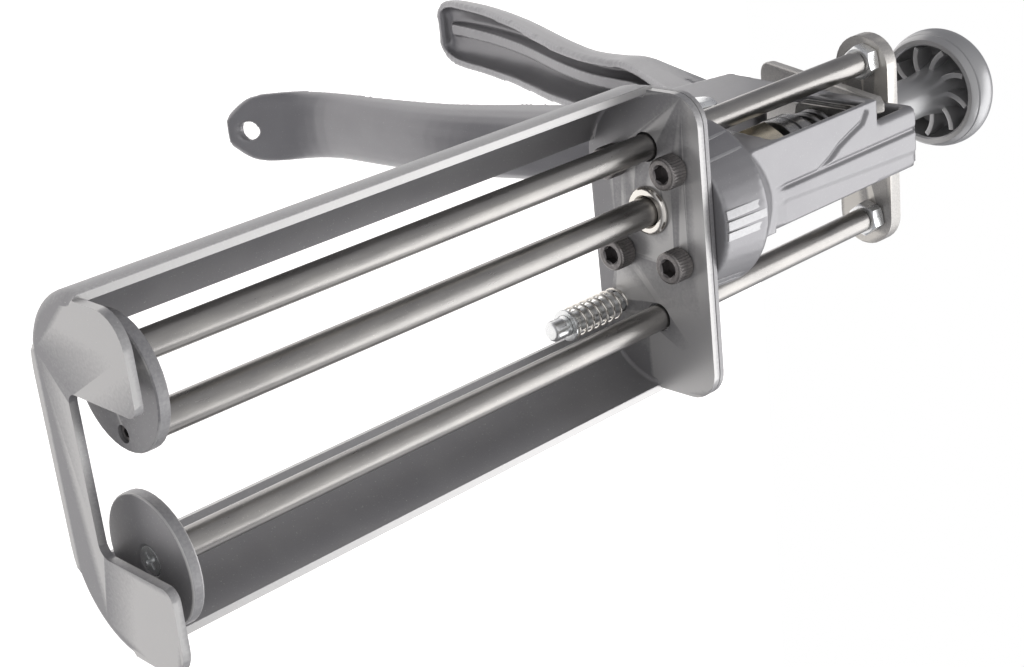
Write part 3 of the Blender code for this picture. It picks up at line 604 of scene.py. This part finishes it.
def coil(name: str, x0: float, x1: float, radius: float, wire: float, turns: int, y: float,
         z: float) -> bpy.types.Object:
    """A helical spring along X, made by the Screw modifier.

    Args:
        name: The piece's name.
        x0: Its rear end.
        x1: Its front end.
        radius: From its axis to the middle of its wire.
        wire: The wire's diameter.
        turns: How many turns it has.
        y: Its axis's place across.
        z: Its axis's height.

    Returns:
        The piece.
    """
    bpy.ops.object.select_all(action="DESELECT")
    bpy.ops.mesh.primitive_circle_add(vertices=14, radius=wire / 2, location=(0, 0, radius),
                                      rotation=(math.pi / 2, 0, 0), fill_type="NOTHING")
    piece = named(name)
    modify(piece, "SCREW", axis="X", angle=2 * math.pi, screw_offset=(x1 - x0 - wire) / turns,
           iterations=turns, steps=40, render_steps=40, use_smooth_shade=True)
    with shaping(piece):
        pick(piece, Kind.EDGE, lambda edge: edge.is_boundary)
        bpy.ops.mesh.edge_face_add()
        bpy.ops.mesh.select_all(action="SELECT")
        bpy.ops.transform.translate(value=(x0 + wire / 2, y, z))
    return smooth(outward(piece), 50)


def fit(piece: bpy.types.Object, body: Body, finish: Finish, *nodes: str) -> bpy.types.Object:
    """Dress a finished piece and let it stand for the nodes it replaces.

    Args:
        piece: The piece.
        body: The body that it rides on.
        finish: Its finish.
        *nodes: The nodes that it stands for.

    Returns:
        The piece.
    """
    piece.data.materials.clear()
    piece.data.materials.append(finish.make())
    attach(piece, body.value)
    if nodes:
        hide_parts(*nodes)
    LOG.info("%s rides on %s in %s", piece.name, body.value, finish.name)
    return piece


# ---------------------------------------------------------------- sub-assemblies

@dataclass
class Cradle:
    """The folded sheet-metal cradle, the plate behind it and the screws that hold them."""

    bend_outside: float = 3.2 * MM
    bend_inside: float = 1.4 * MM
    edge: float = 0.55 * MM
    knurl_teeth: int = 34
    knurl_depth: float = 0.22 * MM
    screws: list[str] = field(default_factory=lambda: ["cradle_screw_%d" % n for n in range(1, 5)])

    def build(self) -> None:
        """Build and dress the cradle's pieces."""
        self.build_sheet()
        backing = bevel(traced("backing_plate", "rear_backing"), self.edge, 3)
        fit(smooth(backing), Body.GUN, CRADLE_PAINT, "backing_plate")
        for node in self.screws:
            self.build_screw(node)

    def build_sheet(self) -> None:
        """Round the bends of the sheet, then its cut edges."""
        sheet = traced("cradle_frame", "folded_cradle")
        low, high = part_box("cradle_frame")
        axes = [centre_of("push_disc_right"), centre_of("push_disc_left")]
        outer = axes[0].y - low.y
        inner = outer - SHEET

        def on_bend(radius: float, x: float) -> Test:
            """A test for edges that run round a cartridge at one radius and one place along X."""
            def test(edge: bmesh.types.BMEdge) -> bool:
                """Whether both ends of the edge are on the bend."""
                for vert in edge.verts:
                    near = min(axes, key=lambda axis: abs(axis.y - vert.co.y))
                    reach = math.hypot(vert.co.y - near.y, vert.co.z - near.z)
                    if abs(vert.co.x - x) > 0.05 * MM or abs(reach - radius) > 0.12 * MM:
                        return False
                return True
            return test

        for radius, places, width in ((outer, (low.x, high.x), self.bend_outside),
                                      (inner, (SEAT, high.x - SHEET), self.bend_inside)):
            for x in places:
                with shaping(sheet):
                    found = pick(sheet, Kind.EDGE, on_bend(radius, x))
                    if found:
                        bpy.ops.mesh.bevel(offset=width, segments=6, profile=0.5,
                                           clamp_overlap=False)
                LOG.info("bend at %.4f rounded over %d edges", x, found)
        bevel(sheet, self.edge, 3, 40)
        fit(smooth(sheet, 35), Body.GUN, CRADLE_PAINT, "cradle_frame")

    def build_screw(self, node: str) -> None:
        """One socket-head cap screw with a knurled head.

        Args:
            node: The screw's node.
        """
        low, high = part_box(node)
        middle = centre_of(node)
        radius = (high.y - low.y) / 2
        seat, top = SEAT + CLEARANCE, high.x
        crown = 0.8 * MM
        profile = [(low.x, 2.8 * MM), (seat, 2.8 * MM), (seat, radius - 0.3 * MM),
                   (seat + 0.3 * MM, radius), (top - crown, radius)]
        profile += [(top - crown + crown * math.sin(turn), radius - crown + crown * math.cos(turn))
                    for turn in (math.pi / 8, math.pi / 4, 3 * math.pi / 8, math.pi / 2)]
        piece = lathe(node + "_socket_head", profile, middle.y, middle.z, 2 * self.knurl_teeth)

        def in_groove(vert: bmesh.types.BMVert) -> bool:
            """Whether a vertex of the head's side is at the foot of the knurl."""
            if not seat + 0.1 * MM < vert.co.x < top - crown + 0.1 * MM:
                return False
            turn = math.atan2(vert.co.z - middle.z, vert.co.y - middle.y)
            return round(turn / (math.pi / self.knurl_teeth)) % 2 == 0

        with shaping(piece):
            pick(piece, Kind.VERT, in_groove)
            share = 1 - self.knurl_depth / radius
            bpy.ops.transform.resize(value=(1, share, share),
                                     center_override=(0, middle.y, middle.z))
        subtract(piece, hexagon("key", top - 3.2 * MM, top + MM, 5 * MM, middle.y, middle.z, 8))
        rim = lathe("rim", [(top - 0.5 * MM, 2.6 * MM), (top + 0.3 * MM, 3.4 * MM)],
                    middle.y, middle.z, 48)
        subtract(piece, rim)
        fit(smooth(piece, 28), Body.GUN, OXIDE, node)


@dataclass
class Casting:
    """The painted aluminium body with its collar and handle."""

    voxel: float = 0.85 * MM
    passes: int = 4
    roof: float = 20.5 * MM          # height of the roof above the drive rod
    side: float = 14.4 * MM          # half the body's width
    corner: float = 4.0 * MM         # radius of the roof's left edge
    groove_y: float = 0.8 * MM       # the long groove, left of the drive rod
    groove_depth: float = 1.0 * MM
    groove_width: float = 0.85 * MM
    step_depth: float = 0.8 * MM
    roof_ends: Station = (-107.0 * MM, -34.0 * MM)
    collar_y: float = 3.0 * MM       # the collar's axis left of the drive rod
    collar_z: float = 0.8 * MM       # and above it
    collar_length: float = 17.0 * MM
    collar_radius: float = 25.2 * MM
    rib_rise: float = 1.1 * MM       # how far the ribs climb along the collar
    # each rib's angle in degrees, and its width and height in mm
    ribs: tuple[Triple, ...] = ((137, 1.1, 0.6), (152, 1.1, 0.6), (167, 1.1, 0.6),
                                (84, 2.7, 0.5), (91.5, 2.7, 0.6), (99, 2.7, 0.5),
                                (28, 2.7, 0.5), (35.5, 2.7, 0.6), (43, 2.7, 0.5),
                                (-42, 3.2, 0.7), (-51, 3.2, 0.5), (-60, 3.2, 0.7),
                                (200, 3.2, 0.6), (210, 3.2, 0.6))
    # points in mm that the groove's branch runs through
    branch: tuple[Station, ...] = ((-55.0, 0.8), (-61.0, -1.6), (-66.0, -4.6), (-72.0, -6.8),
                                   (-78.0, -8.8), (-80.0, -11.5))

    def build(self) -> None:
        """Build and dress the casting."""
        piece = cast("body_casting", "cast_body", self.voxel, self.passes)
        self.mould_roof(piece)
        fit(piece, Body.GUN, CAST_PAINT, "body_casting")
        self.build_collar_ribs()

    def mould_roof(self, piece: bpy.types.Object) -> None:
        """Press the roof's grooves and step into the casting and round its left edge."""
        rod = centre_of("drive_rod")
        start = Vector((SEAT, rod.y, rod.z))

        def on_roof(face: bmesh.types.BMFace) -> bool:
            """Whether a face is on the roof, where the mesh is made finer."""
            place = face.calc_center_median() - start
            return (self.roof_ends[0] < place.x < self.roof_ends[1] and face.normal.z > 0.7
                    and place.z > self.roof - MM)

        with shaping(piece):
            pick(piece, Kind.FACE, on_roof)
            bpy.ops.mesh.subdivide(number_cuts=1)
        upright = [vert.normal.z > 0.5 for vert in piece.data.vertices]
        for vert, faces_up in zip(piece.data.vertices, upright):
            place = vert.co - start
            if self.roof_ends[0] < place.x < self.roof_ends[1]:
                if faces_up and place.z > self.roof - MM:
                    place.z += self.relief(place.x, place.y)
                over = Vector((0, place.y - self.side + self.corner,
                               place.z - self.roof + self.corner))
                if over.y > 0 and over.z > 0 and over.length > self.corner:
                    place += over.normalized() * self.corner - over
                vert.co = start + place
        piece.data.update()

    def relief(self, x: float, y: float) -> float:
        """How far the roof is raised at a place measured from the rod and the rear plate."""
        fade = min(max((self.roof_ends[1] - x) / (6 * MM), 0.0), 1.0)
        reach = abs(y - self.groove_y)
        for first, second in zip(self.branch, self.branch[1:]):
            here, ends = Vector((x, y)), [Vector(point) * MM for point in (first, second)]
            line = ends[1] - ends[0]
            along = min(max((here - ends[0]).dot(line) / line.length_squared, 0.0), 1.0)
            reach = min(reach, (here - ends[0] - line * along).length)
        groove = self.groove_depth * math.exp(-(reach / self.groove_width) ** 2)
        crease = 5.2 * MM + (self.roof_ends[1] - x) * 0.046
        past = (y - crease) / MM
        step = self.step_depth * min(max(past, 0.0), 1.0) + 0.35 * MM * math.exp(-past ** 2 * 3)
        return -fade * (groove + step)

    def build_collar_ribs(self) -> None:
        """The raised lands and fine ridges that run along the collar."""
        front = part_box("body_casting")[1].x
        drive = centre_of("drive_rod")
        y, z = drive.y + self.collar_y, drive.z + self.collar_z
        lean = math.atan2(self.rib_rise, self.collar_length)
        ribs = []
        for angle, width, height in self.ribs:
            rib = bar("collar_rib", (front - 16.6 * MM, y - width * MM / 2, z + 23 * MM),
                      (front - 0.3 * MM, y + width * MM / 2, z + self.collar_radius + height * MM),
                      0.25 * MM)
            about = Matrix.Translation((front, y, z + self.collar_radius))
            rib.data.transform(about @ Matrix.Rotation(lean, 4, "Y") @ about.inverted())
            turn = Matrix.Translation((0, y, z)) @ Matrix.Rotation(math.radians(angle - 90), 4, "X")
            rib.data.transform(turn @ Matrix.Translation((0, -y, -z)))
            ribs.append(rib)
        fit(smooth(joined(ribs, "collar_ribs"), 35), Body.GUN, CAST_PAINT)


def cast(node: str, name: str, voxel: float, passes: int) -> bpy.types.Object:
    """A node's shape with the soft corners of a painted casting.

    Args:
        node: The node that is copied.
        name: The new piece's name.
        voxel: The size of the grid that it is remeshed on.
        passes: How often its corners are smoothed.

    Returns:
        The piece.
    """
    piece = traced(node, name)
    modify(piece, "REMESH", mode="VOXEL", voxel_size=voxel, adaptivity=0.0, use_smooth_shade=True)
    modify(piece, "SMOOTH", factor=0.5, iterations=passes)
    alone(piece)
    bpy.ops.object.shade_smooth()
    return piece


@dataclass
class Mechanism:
    """Bushings, gland nut, spring cup, springs and the plates that grip and brake the rod."""

    edge: float = 0.45 * MM

    def build(self) -> None:
        """Build and dress the mechanism's pieces."""
        rod = centre_of("drive_rod")
        self.build_bushings(rod)
        low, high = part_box("gland_nut")
        flats = high.y - low.y
        hex_nut = nut("gland_hex", low.x, high.x, flats, 5.1 * MM, rod.y, rod.z, 0)
        fit(hex_nut, Body.GUN, PALE_GOLD, "gland_nut")
        self.build_cup(rod)
        low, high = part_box("drive_spring")
        radius = (high.y - low.y) / 2 - 1.0 * MM
        spring = coil("drive_coil", low.x, high.x, radius, 2 * MM, 4, rod.y, rod.z)
        fit(spring, Body.GUN, BLACK_STEEL, "drive_spring")
        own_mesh(spring)
        low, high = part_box("brake_spring")
        radius = (high.y - low.y) / 2 - 0.45 * MM
        spring = coil("brake_coil", low.x, high.x, radius, 0.9 * MM, 2, rod.y, rod.z)
        fit(spring, Body.GUN, BLACK_STEEL, "brake_spring")
        for node in ("grip_plate_front", "grip_plate_rear"):
            plate = bevel(traced(node, node + "_blank"), self.edge, 3)
            fit(smooth(plate), Body.GRIP, PLATE_STEEL, node)
        brake = bevel(traced("brake_plate", "brake_blade"), 0.6 * MM, 3)
        fit(smooth(brake), Body.BRAKE, WORN_AND_EDGE_HIGHLIT_PAINT, "brake_plate")
        self.build_pivot()

    def build_bushings(self, rod: Vector) -> None:
        """The flanged front bushing and the plain rear one."""
        low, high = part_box("front_bushing")
        outer = (high.y - low.y) / 2
        bore, sleeve = outer - 2.8 * MM, outer - 1.5 * MM
        face = high.x
        flange = SEAT + CLEARANCE
        profile = [(low.x, bore), (low.x, sleeve), (flange, sleeve), (flange, outer),
                   (face - 0.9 * MM, outer), (face - 0.25 * MM, outer - 0.5 * MM),
                   (face, outer - 1.1 * MM), (face, bore + 0.5 * MM), (face - 0.5 * MM, bore)]
        bush = lathe("front_bush", profile, rod.y, rod.z, 64, hollow=True)
        fit(smooth(bush, 40), Body.GUN, NICKEL, "front_bushing")
        low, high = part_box("rear_bushing")
        outer = (high.y - low.y) / 2
        profile = [(low.x, outer - 1.3 * MM), (low.x, outer - 0.2 * MM), (low.x + 0.2 * MM, outer),
                   (high.x, outer), (high.x, outer - 1.3 * MM)]
        bush = lathe("rear_bush", profile, rod.y, rod.z, 64, hollow=True)
        fit(smooth(bush, 40), Body.GUN, NICKEL, "rear_bushing")

    def build_cup(self, rod: Vector) -> None:
        """The stepped cup that holds the drive spring's front end."""
        low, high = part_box("spring_cup")
        outer = (high.y - low.y) / 2
        nose = outer - 2.8 * MM
        inside = outer - 1.1 * MM
        step = high.x - 2.4 * MM
        floor = high.x - 4.8 * MM
        profile = [(low.x, inside), (low.x, outer - 0.3 * MM), (low.x + 0.3 * MM, outer),
                   (low.x + 4 * MM, outer), (low.x + 4.2 * MM, outer - 0.4 * MM),
                   (low.x + 5 * MM, outer - 0.4 * MM), (low.x + 5.2 * MM, outer),
                   (step - 0.4 * MM, outer), (step, outer - 0.4 * MM), (step, nose),
                   (high.x - 0.3 * MM, nose), (high.x, nose - 0.3 * MM), (high.x, 5.1 * MM),
                   (floor, 5.1 * MM), (floor, inside)]
        cup = lathe("stepped_cup", profile, rod.y, rod.z, 72, hollow=True)
        fit(smooth(cup, 30), Body.GUN, BLACK_STEEL, "spring_cup")

    def build_pivot(self) -> None:
        """The domed pivot rivet and its washer."""
        pin = bevel(traced("pivot_pin", "pivot_rivet"), 0.25 * MM, 2, 30)
        fit(smooth(pin, 40), Body.GUN, ZINC, "pivot_pin")
        washer = bevel(traced("pivot_clip", "pivot_washer"), 0.2 * MM, 2, 40)
        fit(smooth(washer, 30), Body.GUN, ZINC, "pivot_clip")


@dataclass
class Trigger:
    """The cast trigger lever."""

    voxel: float = 0.7 * MM
    passes: int = 8

    def build(self) -> None:
        """Build and dress the lever."""
        lever = cast("trigger", "cast_trigger", self.voxel, self.passes)
        fit(lever, Body.TRIGGER, CAST_PAINT, "trigger")


@dataclass
class Carriage:
    """The rods, the discs that push the cartridges and the yoke that joins them."""

    rod_steps: int = 72

    def build(self) -> None:
        """Build and dress the carriage's pieces."""
        self.build_rods()
        for side in ("right", "left"):
            disc = bevel(traced("push_disc_" + side, "disc_" + side), 0.5 * MM, 3, 30)
            fit(smooth(disc, 30), Body.CARRIAGE, CRADLE_PAINT, "push_disc_" + side)
            screw = bevel(traced("disc_screw_" + side, "cross_screw_" + side), 0.12 * MM, 2, 35)
            fit(smooth(screw, 30), Body.CARRIAGE, ZINC, "disc_screw_" + side)
        grub = bevel(traced("drive_rod_screw", "grub_screw"), 0.15 * MM, 2, 35)
        fit(smooth(grub, 30), Body.CARRIAGE, OXIDE, "drive_rod_screw")
        clip = bevel(traced("drive_rod_clip", "rod_clip"), 0.15 * MM, 2, 35)
        fit(smooth(clip, 30), Body.CARRIAGE, ZINC, "drive_rod_clip")
        yoke = bevel(traced("yoke", "rear_yoke"), 0.8 * MM, 3, 35)
        fit(smooth(yoke), Body.CARRIAGE, WORN_AND_EDGE_HIGHLIT_PAINT, "yoke")
        for side in ("right", "left"):
            node = "yoke_nut_" + side
            low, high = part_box(node)
            rod = centre_of("guide_rod_" + side)
            hex_nut = nut(node + "_hex", low.x, high.x, 10 * MM, 3 * MM, rod.y, rod.z, 10)
            fit(hex_nut, Body.CARRIAGE, ZINC, node)

    def build_rods(self) -> None:
        """The drive rod and the two guide rods with their threaded studs."""
        low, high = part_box("drive_rod")
        middle = centre_of("drive_rod")
        radius = (high.y - low.y) / 2
        edge = 0.5 * MM
        profile = [(low.x, radius - edge), (low.x + edge, radius), (high.x - edge, radius),
                   (high.x, radius - edge)]
        rod = lathe("push_rod", profile, middle.y, middle.z, self.rod_steps)
        fit(smooth(rod, 35), Body.CARRIAGE, ROD_STEEL, "drive_rod")
        for side in ("right", "left"):
            node = "guide_rod_" + side
            low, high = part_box(node)
            middle = centre_of(node)
            radius = (high.y - low.y) / 2
            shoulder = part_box("yoke_nut_" + side)[1].x + 0.3 * MM
            stud = 2.85 * MM
            profile = [(low.x, stud - 0.4 * MM)]
            x = low.x + 0.4 * MM
            while x < shoulder - 1.2 * MM:
                profile += [(x, stud), (x + 0.5 * MM, stud - 0.35 * MM)]
                x += 1.0 * MM
            profile += [(shoulder, stud - 0.35 * MM), (shoulder, radius - 0.6 * MM),
                        (shoulder + 0.6 * MM, radius), (high.x - edge, radius),
                        (high.x, radius - edge)]
            rod = lathe("side_rod_" + side, profile, middle.y, middle.z, self.rod_steps)
            fit(smooth(rod, 35), Body.CARRIAGE, ROD_STEEL, node)


@dataclass
class Knob:
    """The hollow mushroom knob on the drive rod's rear end."""

    steps: int = 96
    ribs: int = 9
    bulge: float = 1.7 * MM       # how far the dome swells past the rim
    wall: float = 2.6 * MM

    def build(self) -> None:
        """Build and dress the knob and its metal insert."""
        low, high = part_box("knob")
        rod = centre_of("drive_rod")
        radius = (high.y - low.y) / 2
        rim = high.x - 28.3 * MM
        rim_radius = radius - self.bulge
        inner = rim_radius - self.wall
        hub = 7.2 * MM
        floor = rim - 9.5 * MM
        front = high.x
        neck = 7.6 * MM
        mouth = 6.75 * MM
        seat = front - 7.3 * MM
        profile = [(front, mouth), (front, neck - 0.5 * MM), (front - 0.5 * MM, neck),
                   (rim + 6 * MM, hub), (rim, hub + 0.6 * MM), (floor + 3 * MM, hub + 2 * MM),
                   (floor, hub + 4 * MM), (floor, inner - 4 * MM), (floor + MM, inner - 2 * MM),
                   (rim - 3 * MM, inner), (rim - 0.6 * MM, inner), (rim, inner + 0.6 * MM),
                   (rim, rim_radius - 0.6 * MM), (rim - 0.5 * MM, rim_radius),
                   (rim - 2.3 * MM, rim_radius + 0.7 * MM),
                   (rim - 2.55 * MM, rim_radius + 0.3 * MM),
                   (rim - 2.8 * MM, rim_radius + 0.85 * MM)]
        widest = rim - 7 * MM
        for step in range(-3, 19):
            turn = math.radians(5 * step)
            depth = widest - low.x if step > 0 else 15.4 * MM
            profile.append((widest - depth * math.sin(turn),
                            max(radius * math.cos(turn), 0.4 * MM)))
        knob = lathe("mushroom_knob", profile[::-1], rod.y, rod.z, self.steps)
        subtract(knob, lathe("mouth", [(seat, mouth), (front + MM, mouth)], rod.y, rod.z, 64))
        subtract(knob, lathe("rod_bore", [(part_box("drive_rod")[0].x - MM, 4.8 * MM),
                                          (front + MM, 4.8 * MM)], rod.y, rod.z, 64))
        fit(smooth(knob, 32), Body.CARRIAGE, KNOB_PLASTIC, "knob")
        self.build_ribs(rod, hub, inner, floor, rim)
        insert = bevel(traced("knob_insert", "knob_sleeve"), 0.3 * MM, 2, 35)
        fit(smooth(insert, 35), Body.CARRIAGE, PALE_GOLD, "knob_insert")

    def build_ribs(self, rod: Vector, hub: float, inner: float, floor: float, rim: float) -> None:
        """Curved ribs between the hub and the rim, spun from one upright edge.

        Args:
            rod: A point on the knob's axis.
            hub: The hub's radius.
            inner: The radius inside the rim.
            floor: Where the ribs end inside the dome.
            rim: Where the knob's rim is.
        """
        ribs = []
        reach = inner - hub
        bow = reach * 1.1
        for number in range(self.ribs):
            bpy.ops.object.select_all(action="DESELECT")
            bpy.ops.mesh.primitive_plane_add(size=1, location=((floor + rim) / 2, 0, hub),
                                             rotation=(math.pi / 2, 0, 0))
            rib = named("knob_rib")
            with shaping(rib):
                pick(rib, Kind.VERT, lambda vert: vert.co.z > hub)
                bpy.ops.mesh.delete(type="VERT")
                bpy.ops.mesh.select_all(action="SELECT")
                bpy.ops.transform.resize(value=((rim - floor), 1, 1),
                                         center_override=((floor + rim) / 2, 0, 0))
                bpy.ops.transform.translate(value=(-0.8 * MM, 0, 0.5 - 0.4 * MM))
                bpy.ops.mesh.spin(steps=10, angle=2 * math.asin(reach / (2 * bow)),
                                  center=(0, bow, hub), axis=(1, 0, 0))
            outward(rib)
            modify(rib, "SOLIDIFY", thickness=1.9 * MM, offset=0)
            bevel(rib, 0.3 * MM, 2, 50)
            turn = Matrix.Rotation(2 * math.pi * number / self.ribs, 4, "X")
            rib.data.transform(Matrix.Translation((0, rod.y, rod.z)) @ turn)
            ribs.append(rib)
        fit(smooth(joined(ribs, "knob_ribs"), 35), Body.CARRIAGE, KNOB_PLASTIC)


@dataclass
class Holder:
    """The sprung pin that steadies the left cartridge."""

    def build(self) -> None:
        """Build and dress the pin, its spring, collar and clip."""
        low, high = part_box("holder_pin")
        middle = centre_of("holder_pin")
        radius = (high.y - low.y) / 2
        tip = high.x
        profile = [(low.x, radius - 0.3 * MM), (low.x + 0.3 * MM, radius), (tip - 6.2 * MM, radius),
                   (tip - 5.9 * MM, radius - 0.9 * MM), (tip - 4.9 * MM, radius - 0.9 * MM),
                   (tip - 4.5 * MM, radius), (tip - 1.0 * MM, radius),
                   (tip - 0.4 * MM, radius - 0.3 * MM), (tip, radius - 1.0 * MM)]
        pin = lathe("locating_pin", profile, middle.y, middle.z, 56)
        fit(smooth(pin, 32), Body.HOLDER, ZINC, "holder_pin")
        for node, name in (("holder_collar", "pin_collar"), ("holder_clip", "pin_clip")):
            ring = bevel(traced(node, name), 0.2 * MM, 2, 35)
            fit(smooth(ring, 35), Body.HOLDER, ZINC, node)
        low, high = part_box("holder_spring")
        radius = (high.y - low.y) / 2 - 0.4 * MM
        spring = coil("pin_spring", low.x, high.x, radius, 0.8 * MM, 7, middle.y, middle.z)
        fit(spring, Body.GUN, NICKEL, "holder_spring")
        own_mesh(spring)


@dataclass
class Studio:
    """Camera, lights, sky and floor."""

    eye: Vector = field(default_factory=lambda: Vector((0.1948, -0.1895, 0.3879)))
    right: Vector = field(default_factory=lambda: Vector((-0.7227, 0.1058, 0.6830)))
    down: Vector = field(default_factory=lambda: Vector((0.3291, 0.9217, 0.2055)))
    ahead: Vector = field(default_factory=lambda: Vector((-0.6078, 0.3733, -0.7009)))
    lens: float = 66.44
    shift: tuple[float, float] = (0.0165, 0.0083)
    floor_drop: float = 0.35
    floor_size: float = 1.7
    floor_glow: float = 0.50

    def build(self) -> None:
        """Set up the studio."""
        self.set_camera()
        self.lay_floor()
        self.paint_sky()
        bpy.context.scene.view_settings.view_transform = "Standard"
        self.hang_light("overhead_softbox", MIDDLE + Vector((-0.95, 0.38, 0.82)), (1.3, 0.9), 8.5)
        self.hang_light("rear_left_softbox", MIDDLE + Vector((-0.55, 1.10, 0.30)), (1.6, 0.6), 1.6)
        self.hang_light("front_fill", MIDDLE + Vector((0.9, -0.5, 0.9)), (0.5, 0.5), 0.5)

    def paint_sky(self) -> None:
        """A dim studio round the gun, brighter overhead, in front of a pale backdrop."""
        sky = bpy.data.worlds.new("studio_sky")
        sky.use_nodes = True
        bpy.context.scene.world = sky
        tree = sky.node_tree
        dim = tree.nodes["Background"]
        dim.inputs["Strength"].default_value = 1.0
        place = tree.nodes.new("ShaderNodeTexCoord")
        parts = tree.nodes.new("ShaderNodeSeparateXYZ")
        ramp = tree.nodes.new("ShaderNodeValToRGB")
        ramp.color_ramp.elements[0].position = 0.0
        ramp.color_ramp.elements[0].color = (0.34, 0.34, 0.36, 1.0)
        ramp.color_ramp.elements[1].position = 1.0
        ramp.color_ramp.elements[1].color = (0.74, 0.74, 0.75, 1.0)
        tree.links.new(place.outputs["Generated"], parts.inputs["Vector"])
        tree.links.new(parts.outputs["Z"], ramp.inputs["Fac"])
        tree.links.new(ramp.outputs["Color"], dim.inputs["Color"])
        pale = tree.nodes.new("ShaderNodeBackground")
        pale.inputs["Color"].default_value = (1.0, 1.0, 1.0, 1.0)
        rays = tree.nodes.new("ShaderNodeLightPath")
        blend = tree.nodes.new("ShaderNodeMixShader")
        tree.links.new(rays.outputs["Is Camera Ray"], blend.inputs["Fac"])
        tree.links.new(dim.outputs["Background"], blend.inputs[1])
        tree.links.new(pale.outputs["Background"], blend.inputs[2])
        tree.links.new(blend.outputs["Shader"], tree.nodes["World Output"].inputs["Surface"])

    def set_camera(self) -> None:
        """The camera at the calibrated place."""
        data = bpy.data.cameras.new("camera")
        camera = bpy.data.objects.new("camera", data)
        bpy.context.scene.collection.objects.link(camera)
        turn = Matrix((self.right, -self.down, -self.ahead)).transposed()
        camera.matrix_world = Matrix.Translation(self.eye) @ turn.to_4x4()
        data.lens = self.lens
        data.sensor_width = 36.0
        data.shift_x, data.shift_y = self.shift
        data.clip_start = 0.01
        bpy.context.scene.camera = camera

    def lay_floor(self) -> None:
        """A wide pale floor."""
        bpy.ops.object.select_all(action="DESELECT")
        low = CAD_BOX[0].z - self.floor_drop
        bpy.ops.mesh.primitive_plane_add(size=self.floor_size, location=(-0.1, 0.1, low))
        floor = named("floor")
        shader = Shader("pale_floor")
        place = shader.node("ShaderNodeTexCoord", output="Object")
        drift = shader.noise(place, 0.5)
        shader.feed("Base Color", shader.mix(drift, (0.90, 0.90, 0.90), (0.93, 0.93, 0.93)))
        shader.feed("Roughness", 0.9)
        shader.feed("Emission Color", (1.0, 0.965, 0.93, 1.0))
        shader.feed("Emission Strength", self.floor_glow)
        floor.data.materials.append(shader.material)

    def hang_light(self, name: str, place: Vector, size: Station, power: float) -> None:
        """A soft area light that faces the gun.

        Args:
            name: The light's name.
            place: Where it hangs.
            size: Its width and height.
            power: Its power in watts.
        """
        data = bpy.data.lights.new(name, "AREA")
        data.shape = "RECTANGLE"
        data.size, data.size_y = size
        data.energy = power
        lamp = bpy.data.objects.new(name, data)
        lamp.location = place
        towards = MIDDLE - place
        lamp.rotation_euler = towards.to_track_quat("-Z", "Y").to_euler()
        bpy.context.scene.collection.objects.link(lamp)


def main() -> None:
    """Build every sub-assembly and the studio in order."""
    logging.basicConfig(level=logging.INFO, format="%(message)s")
    for part in (Cradle(), Casting(), Mechanism(), Trigger(), Carriage(), Knob(), Holder(),
                 Studio()):
        part.build()
        LOG.info("%s is done", type(part).__name__)
    bpy.ops.object.select_all(action="DESELECT")


if __name__ == "__main__":
    main()
